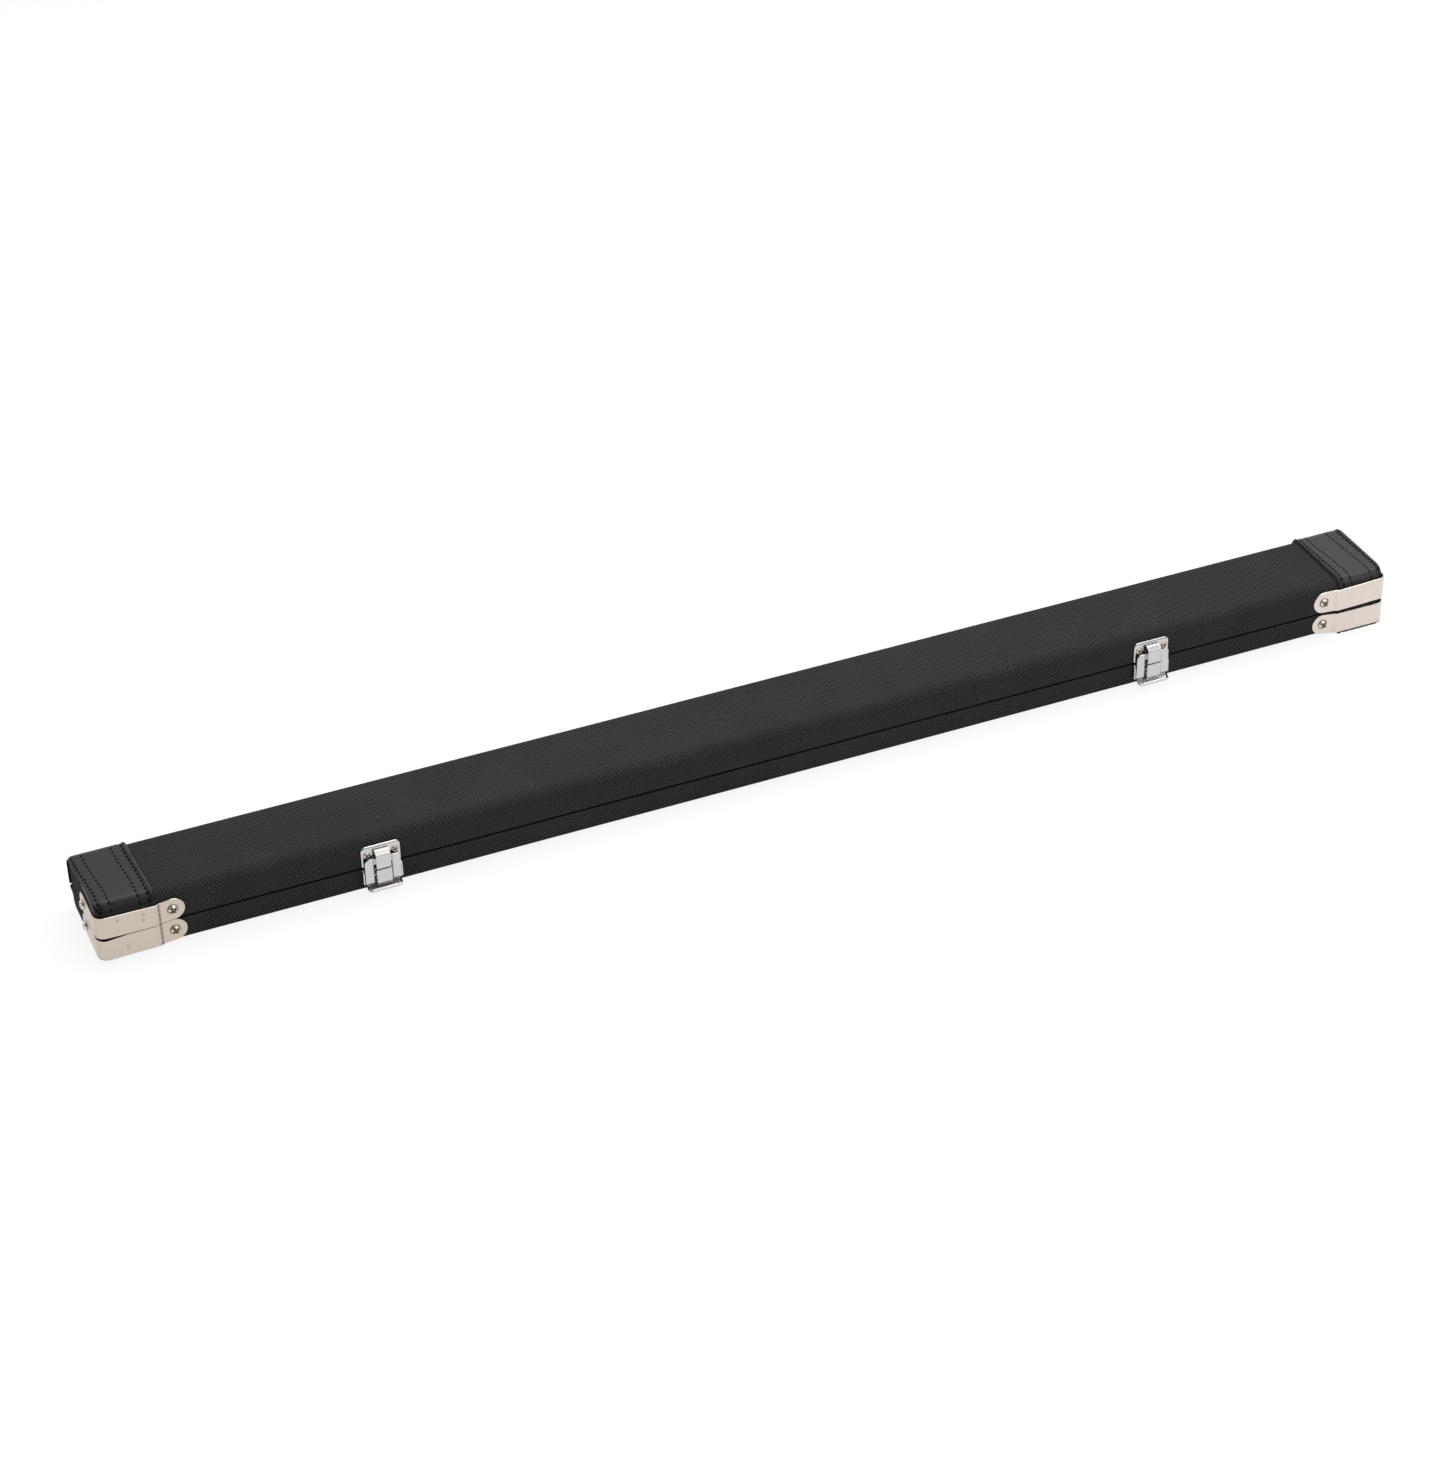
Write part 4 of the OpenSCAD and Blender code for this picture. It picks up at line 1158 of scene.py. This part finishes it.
def base_plate_parts():
    """The base's plate with a flange along each side, and the lugs that hold the pin."""
    flanges = [side_plate(k * FLANGE_X, -14.8, -0.2, 0.4, flange_front, FLANGE_T, 0.94) for k in (-1, 1)]
    lugs = [side_plate(k * LUG_X, -3.2, 0.6, 0.6, eye_front, LATCH_T, 0.25) for k in (-1, 1)]
    return [stamped("base_plate", edge=0.5)] + flanges + lugs


# %% The latches
# for each lip: painted shade inside it, then how satin it is
LIPS = {"left": (0.9, 0.0), "right": (0.0, 1.0)}
LIP_X, LIP_U, LIP_H = 13.8, 8.6, -15.6
KINDS = {
    "keeper": ("lid", keeper_parts),
    "claw": ("claw_{}", claw_parts),
    "lever": ("lever_{}", lever_parts),
    "latch_base": ("base", base_plate_parts),
}


def latch_marks(kind, side, points):
    """Marks on a latch: painted shade inside the left lip and satin inside the right one, as
    LIPS says, and a thin painted shadow beside the claw's raised middle."""
    x = np.abs(points[:, 0] - LATCH_X[side])
    u, h = -HALF_W - points[:, 1], points[:, 2] - PART_Z
    in_lip = unit((LIP_X - x) / 1.2) * unit((LIP_U - u) / 0.8) * unit((LIP_H - h) / 0.8) * (kind == "lever")
    # painted shadow: a thin dark line where the wing meets the claw's raised middle
    beside = hump(x, WING_IN + 0.5, 0.4) * (u < 6.4) * unit(10.6 - h) * (kind == "claw")
    dirt_and_shade, satin = LIPS[side]
    return {"grime_and_shade": dirt_and_shade * in_lip + 0.4 * beside, "satin": satin * in_lip}


for side in LATCH_X:
    for kind, (body, parts_of) in KINDS.items():
        placed = [(at_latch(side, *points.T), faces) for points, faces in parts_of()]
        points, faces = join([(points, face_outwards(points, faces)) for points, faces in placed])
        make_piece(
            f"{kind}_sheet_{side}", points, faces, body.format(side), bright,
            [f"{kind}_{side}"], marks=latch_marks(kind, side, points),
        )

# %% Screws of the latches
KEEPER_SCREW, KEEPER_AT = (3.0, 1.4, 0.35), (12.6, KEEPER_T, 13.5)
PLATE_SCREW, PLATE_AT = (2.5, 1.1, 0.2), (13.0, LATCH_T, -9.0)


def latch_pairs(x, u, h):
    """Places of two screws on each latch, x to either side of its middle."""
    return [at_latch(side, k * x, u, h) for side in LATCH_X for k in (-1, 1)]


keeper_places, plate_places = latch_pairs(*KEEPER_AT), latch_pairs(*PLATE_AT)
screw_set(
    "keeper_screw_heads", "lid", keeper_places, KEEPER_SCREW, FRONT, brassy, ["keeper_screws"]
)
screw_set(
    "plate_screw_heads", "base", plate_places, PLATE_SCREW, FRONT, screw_plate,
    ["latch_base_screws"],
)

# %% Screws of the hinges
HINGE_SCREW = (3.0, 1.2, 0.7)
HINGE_APART, LEAF_L, LEAF_T, HINGE_SCREW_UP = 450.0, 44.0, 1.6, 10.5
hinge_x = [HINGE_APART * k + LEAF_L / 3 * i for k in (-1, 0, 1) for i in (-1, 0, 1)]
for body, sign in (("base", -1), ("lid", 1)):
    places = [(x, HALF_W + LEAF_T, PART_Z + sign * HINGE_SCREW_UP) for x in hinge_x]
    screw_set(
        f"hinge_{body}_screw_heads", body, places, HINGE_SCREW, BACK, screw_plate,
        [f"hinge_{body}_screws"],
    )

# %% [markdown]
# ## Lining
# Inside, foam under short dark pile holds the cue: a full-length channel for the shaft and
# three compartments beside it. The lining is one height over the tray's floor plan. Across
# it, each channel is an arc with a rounded lip, and the pocket has a flat floor; along it,
# they fade out over a few millimetres at their ends, as pile-covered foam does. The lid's
# pad is a crowned slab.


# %% Finish of the pile
def pile_finish():
    """Short dark pile: sheen at the edges of view, tone and bump from fine noise."""
    finish, tree, shader = new_finish(
        "short_pile", Roughness=0.95, Specular_IOR_Level=0.1, Sheen_Weight=0.7, Sheen_Roughness=0.4
    )
    cloud = ramp(tree, drifting(tree, 60.0, 120.0, 0.03)["Cloud"], 0.3, 0.7)
    fibres = noise(tree, object_place(tree), 1800.0, 3.0)
    nap = mix_colour(tree, cloud, (0.014, 0.015, 0.02, 1), (0.03, 0.031, 0.038, 1))
    colour = mix_colour(tree, times(tree, fibres, 0.7), nap, (0.045, 0.046, 0.055, 1))
    dress(tree, shader, fibres, 0.6, 0.6 * MM, Base_Color=colour)
    return finish


pile = pile_finish()

# %% Slabs and channels
LIP_R = 1.5


def close_slab(top, floor_z):
    """A grid of points closed by a skirt down to floor_z and a flat grid under it."""
    under = top.copy()
    under[..., 2] = floor_z
    points = np.concatenate([top.reshape(-1, 3), under.reshape(-1, 3)])
    return points, face_outwards(points, slab_quads(*top.shape[:2]))


def channel(centre, r, deep):
    """Stations across a channel between two rounded lips, its depth there as an arc, and its
    depth as a pocket with a flat floor."""
    turn = np.radians(np.linspace(-90, 90, 29))
    bend = np.radians(np.linspace(0, 90, 6))[:-1]
    side, lips = LIP_R * (1 - np.sin(bend)), LIP_R * (1 - np.cos(bend))
    y = np.concatenate([centre - r - side, centre + r * np.sin(turn), (centre + r + side)[::-1]])
    floors = [LIP_R + (deep - LIP_R) * across for across in (np.cos(turn), unit(5 * np.cos(turn)))]
    rounded, boxed = (np.concatenate([lips, floor, lips[::-1]]) for floor in floors)
    return y, rounded, boxed


# %% The lining
SPANS = {"shaft": (-600, 600), "butt": (-600, -150), "extension": (-138, 300), "pocket": (312, 600)}
SHAFT, BUTT = (-18.32, 12.5, 12.5), (15.32, 15.5, 14.5)
END_FADE, SKIN = 2.4, 0.05


def lining_shape():
    """Height = top less each channel's depth across times its fade along, with slow waves."""
    low, high = in_mm(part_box("base_liner"))
    shaft_y, shaft_deep, _ = channel(*SHAFT)
    butt_y, butt_deep, box_deep = channel(*BUTT)
    edge, reach = high[1] - SKIN, high[0] - SKIN
    ridge = np.linspace(shaft_y[-1], butt_y[0], 4)[1:-1]
    y = np.concatenate([[-edge, 1 - edge], shaft_y, ridge, butt_y, [edge - 1, edge]])
    flat, no_shaft = np.zeros(2), 0 * shaft_deep
    shaft = np.concatenate([flat, shaft_deep, flat, 0 * butt_deep, flat])
    butt, box = (np.concatenate([flat, no_shaft, flat, deep, flat]) for deep in (butt_deep, box_deep))
    stops = np.array(list(SPANS.values()))[..., None] + np.linspace(-3, 3, 15)
    x = np.unique(np.round(np.append(stops.ravel(), np.linspace(-reach, reach, 160)), 2))[:, None]
    fade = {key: quarter_round(np.minimum(x - a, b - x) / END_FADE) for key, (a, b) in SPANS.items()}
    deep = shaft * fade["shaft"] + box * fade["pocket"]
    deep = deep + butt * np.maximum(fade["butt"], fade["extension"])
    z = high[2] - deep + 0.12 * np.sin(x / 9 + y / 5) * np.sin(x / 31) - 0.15
    points = np.stack(np.broadcast_arrays(x, y[None, :], z), -1)
    return close_slab(points, low[2] + 2 * SKIN)


# %% The pad
SEAM_APART, SEAM_SPREAD = 150, 5.0


def pad_shape():
    """A slab crowned downwards: thickness is a superellipse across and along, with sewn
    cross seams that draw it in at even distances."""
    low, high = in_mm(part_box("lid_pad"))
    x = np.linspace(low[0], high[0], 420)[:, None]
    y = np.sin(np.radians(np.linspace(-90, 90, 41)))[None, :] * high[1]
    across = np.maximum(1 - np.abs(y / high[1]) ** 3.5, 0) ** 0.5
    along = np.maximum(1 - np.abs(x / high[0]) ** 60, 0) ** 0.5
    seam = hump((x + SEAM_APART / 2) % SEAM_APART, SEAM_APART / 2, SEAM_SPREAD)
    thick = (high[2] - low[2]) * (0.12 + 0.88 * across * along * (1 - 0.42 * seam))
    points = np.stack(np.broadcast_arrays(x, y, high[2] - thick), -1)
    return close_slab(points, high[2] - SKIN)


points, faces = lining_shape()
lining = make_piece("base_lining", points, faces, "base", pile, ["base_liner"], sharp=70)
points, faces = pad_shape()
padding = make_piece("lid_padding", points, faces, "lid", pile, ["lid_pad"], sharp=70)

# %% [markdown]
# ## What stays as CAD
# Board panels, hinge leaves and pins keep their CAD meshes, which already have the true
# shape, and only get a finish. The board is pressed fibre: fine flecks in faint layers.


# %% Finishes of the CAD nodes
def board_finish():
    """Pressed board: warm brown, flecked by fine noise, with faint layers by height, and painted
    shade, near black, on its rim at the parting, so that no pale line shows there."""
    finish, tree, shader = new_finish("pressed_board", Roughness=0.85, Specular_IOR_Level=0.2)
    place = object_place(tree)
    layers = wire(tree, "Mapping", {0: place, 3: (300.0, 700.0, 1800.0)}).outputs[0]
    fleck = noise(tree, layers, 1.0, 5.0)
    tone = mix_colour(tree, ramp(tree, fleck, 0.3, 0.7), (0.19, 0.12, 0.06, 1), (0.36, 0.25, 0.14, 1))
    above = math_node(tree, "SUBTRACT", axes_of(tree, place)[2], PART_Z * MM)
    # painted shade: near black within about 1.8 mm of the parting height, for the gap between the halves
    gap_shade = ramp(tree, math_node(tree, "ABSOLUTE", above), 1.2 * MM, 1.8 * MM, 1.0, 0.0)
    colour = mix_colour(tree, gap_shade, tone, grey(0.004))
    dress(tree, shader, fleck, 0.3, 0.3 * MM, Base_Color=colour)
    return finish


board = board_finish()
for name, part in nodes.items():
    finish = None
    if any(word in name for word in ("floor", "roof", "wall", "_end_")):
        finish = board
    elif "pin" in name:
        finish = screw_plate
    elif name.startswith("hinge"):
        finish = nickel
    if finish:
        part.data.materials.clear()
        part.data.materials.append(finish)
print("CAD nodes still shown:", sorted(n for n, o in nodes.items() if not o.hide_render))

# %% [markdown]
# ## Floor, light and camera
# The photograph is cut out on white, so all that surrounds the case is white to the camera,
# and so are the floor and the backdrop in reflections, while the lamps stay at a plain
# level. The room in front of the case is darker than the backdrop behind it, which gives
# the leather its sheen on top and its dark front. A wide box lights the top, a high one in
# front lifts the cloth and the plated fronts, and a small one brightens the right end.


# %% Floor
def floor_finish():
    """White paper: what the camera and reflections see is mostly an even white, and the
    rest is a lit surface that carries the shadow."""
    finish, tree, shader = new_finish("white_paper", Roughness=0.9, Specular_IOR_Level=0.0)
    tooth = noise(tree, object_place(tree), 60.0, 2.0)
    tree.links.new(mix_colour(tree, tooth, grey(0.9), grey(0.94)), shader.inputs["Base Color"])
    rays = wire(tree, "LightPath").outputs
    mirrored = math_node(tree, "MAXIMUM", rays["Is Glossy Ray"], rays["Is Transmission Ray"])
    seen = times(tree, math_node(tree, "MAXIMUM", rays["Is Camera Ray"], mirrored), 0.88)
    glow = wire(tree, "Emission", {"Color": (1, 1, 1, 1), "Strength": 1.0})
    both = wire(tree, "MixShader", {0: seen, 1: shader.outputs[0], 2: glow.outputs[0]})
    tree.links.new(both.outputs[0], tree.nodes["Material Output"].inputs["Surface"])
    return finish


FLOOR_HALF, FLOOR_Z = 4000.0, -0.4
corners = np.array([[-1, -1], [1, -1], [1, 1], [-1, 1]]) * FLOOR_HALF
mesh = bpy.data.meshes.new("paper_floor")
mesh.from_pydata((np.c_[corners, np.full(4, FLOOR_Z)] * MM).tolist(), [], [[0, 1, 2, 3]])
mesh.materials.append(floor_finish())
paper = bpy.data.objects.new("paper_floor", mesh)
bpy.context.scene.collection.objects.link(paper)

# %% World
world = bpy.data.worlds.new("studio")
bpy.context.scene.world = world
world.use_nodes = True
sky = world.node_tree
_, back, up = axes_of(sky, wire(sky, "TexCoord").outputs["Generated"])
room = ramp(sky, math_node(sky, "SUBTRACT", back, times(sky, up, 0.5)), -1.0, 0.55, 0.16, 1.0)
rays = wire(sky, "LightPath").outputs
mirrored = math_node(sky, "MAXIMUM", rays["Is Glossy Ray"], rays["Is Transmission Ray"])
backdrop = times(sky, mirrored, ramp(sky, back, 0.1, 0.5))
white = math_node(sky, "MAXIMUM", rays["Is Camera Ray"], backdrop)
level = wire(sky, "Mix", {0: white, 2: room, 3: 1.0}, data_type="FLOAT").outputs[0]
sky.links.new(level, sky.nodes["Background"].inputs["Strength"])
sky.nodes["Background"].inputs["Color"].default_value = (1, 1, 1, 1)
print("world:", world.name, "with", len(sky.nodes), "nodes")


# %% Lamps
def put(name, data, place, aim, roll=0.0):
    """An object at place in metres, turned to face aim and rolled by some degrees."""
    made = bpy.data.objects.new(name, data)
    made.location = place
    made.rotation_mode = "QUATERNION"
    facing_aim = (Vector(aim) - Vector(place)).to_track_quat("-Z", "Y")
    made.rotation_quaternion = facing_aim @ Quaternion((0, 0, 1), math.radians(roll))
    bpy.context.scene.collection.objects.link(made)
    print(name, "at", place)
    return made


def softbox(name, place, aim, size, power):
    """A rectangular area lamp at place, turned to face aim."""
    lamp = bpy.data.lights.new(name, "AREA")
    lamp.shape, lamp.size, lamp.size_y, lamp.energy = "RECTANGLE", size[0], size[1], power
    return put(name, lamp, place, aim)


softbox("top_box", (0.45, 0.5, 2.2), (0.1, 0, 0), (2.6, 1.6), 55)
softbox("right_box", (1.75, -1.2, 1.4), (0.4, 0, 0.02), (1.0, 0.9), 6)
softbox("high_box", (0.3, -1.6, 1.7), (0, 0, 0.03), (2.2, 1.9), 17)

# %% Camera
EYE, AIM, ROLL_DEG = (-1.0431, -2.45755, 1.8862), (-0.0323, 0.00585, 0.03), -1.49
lens = bpy.data.cameras.new("camera")
lens.sensor_width, lens.lens, lens.clip_end = 36.0, 89.88, 50
bpy.context.scene.camera = put("camera", lens, EYE, AIM, ROLL_DEG)
bpy.context.scene.view_settings.view_transform = "Standard"
print("camera", round((Vector(AIM) - Vector(EYE)).length, 3), "m from its aim")

# %% Update the scene, and the end
bpy.context.view_layer.update()
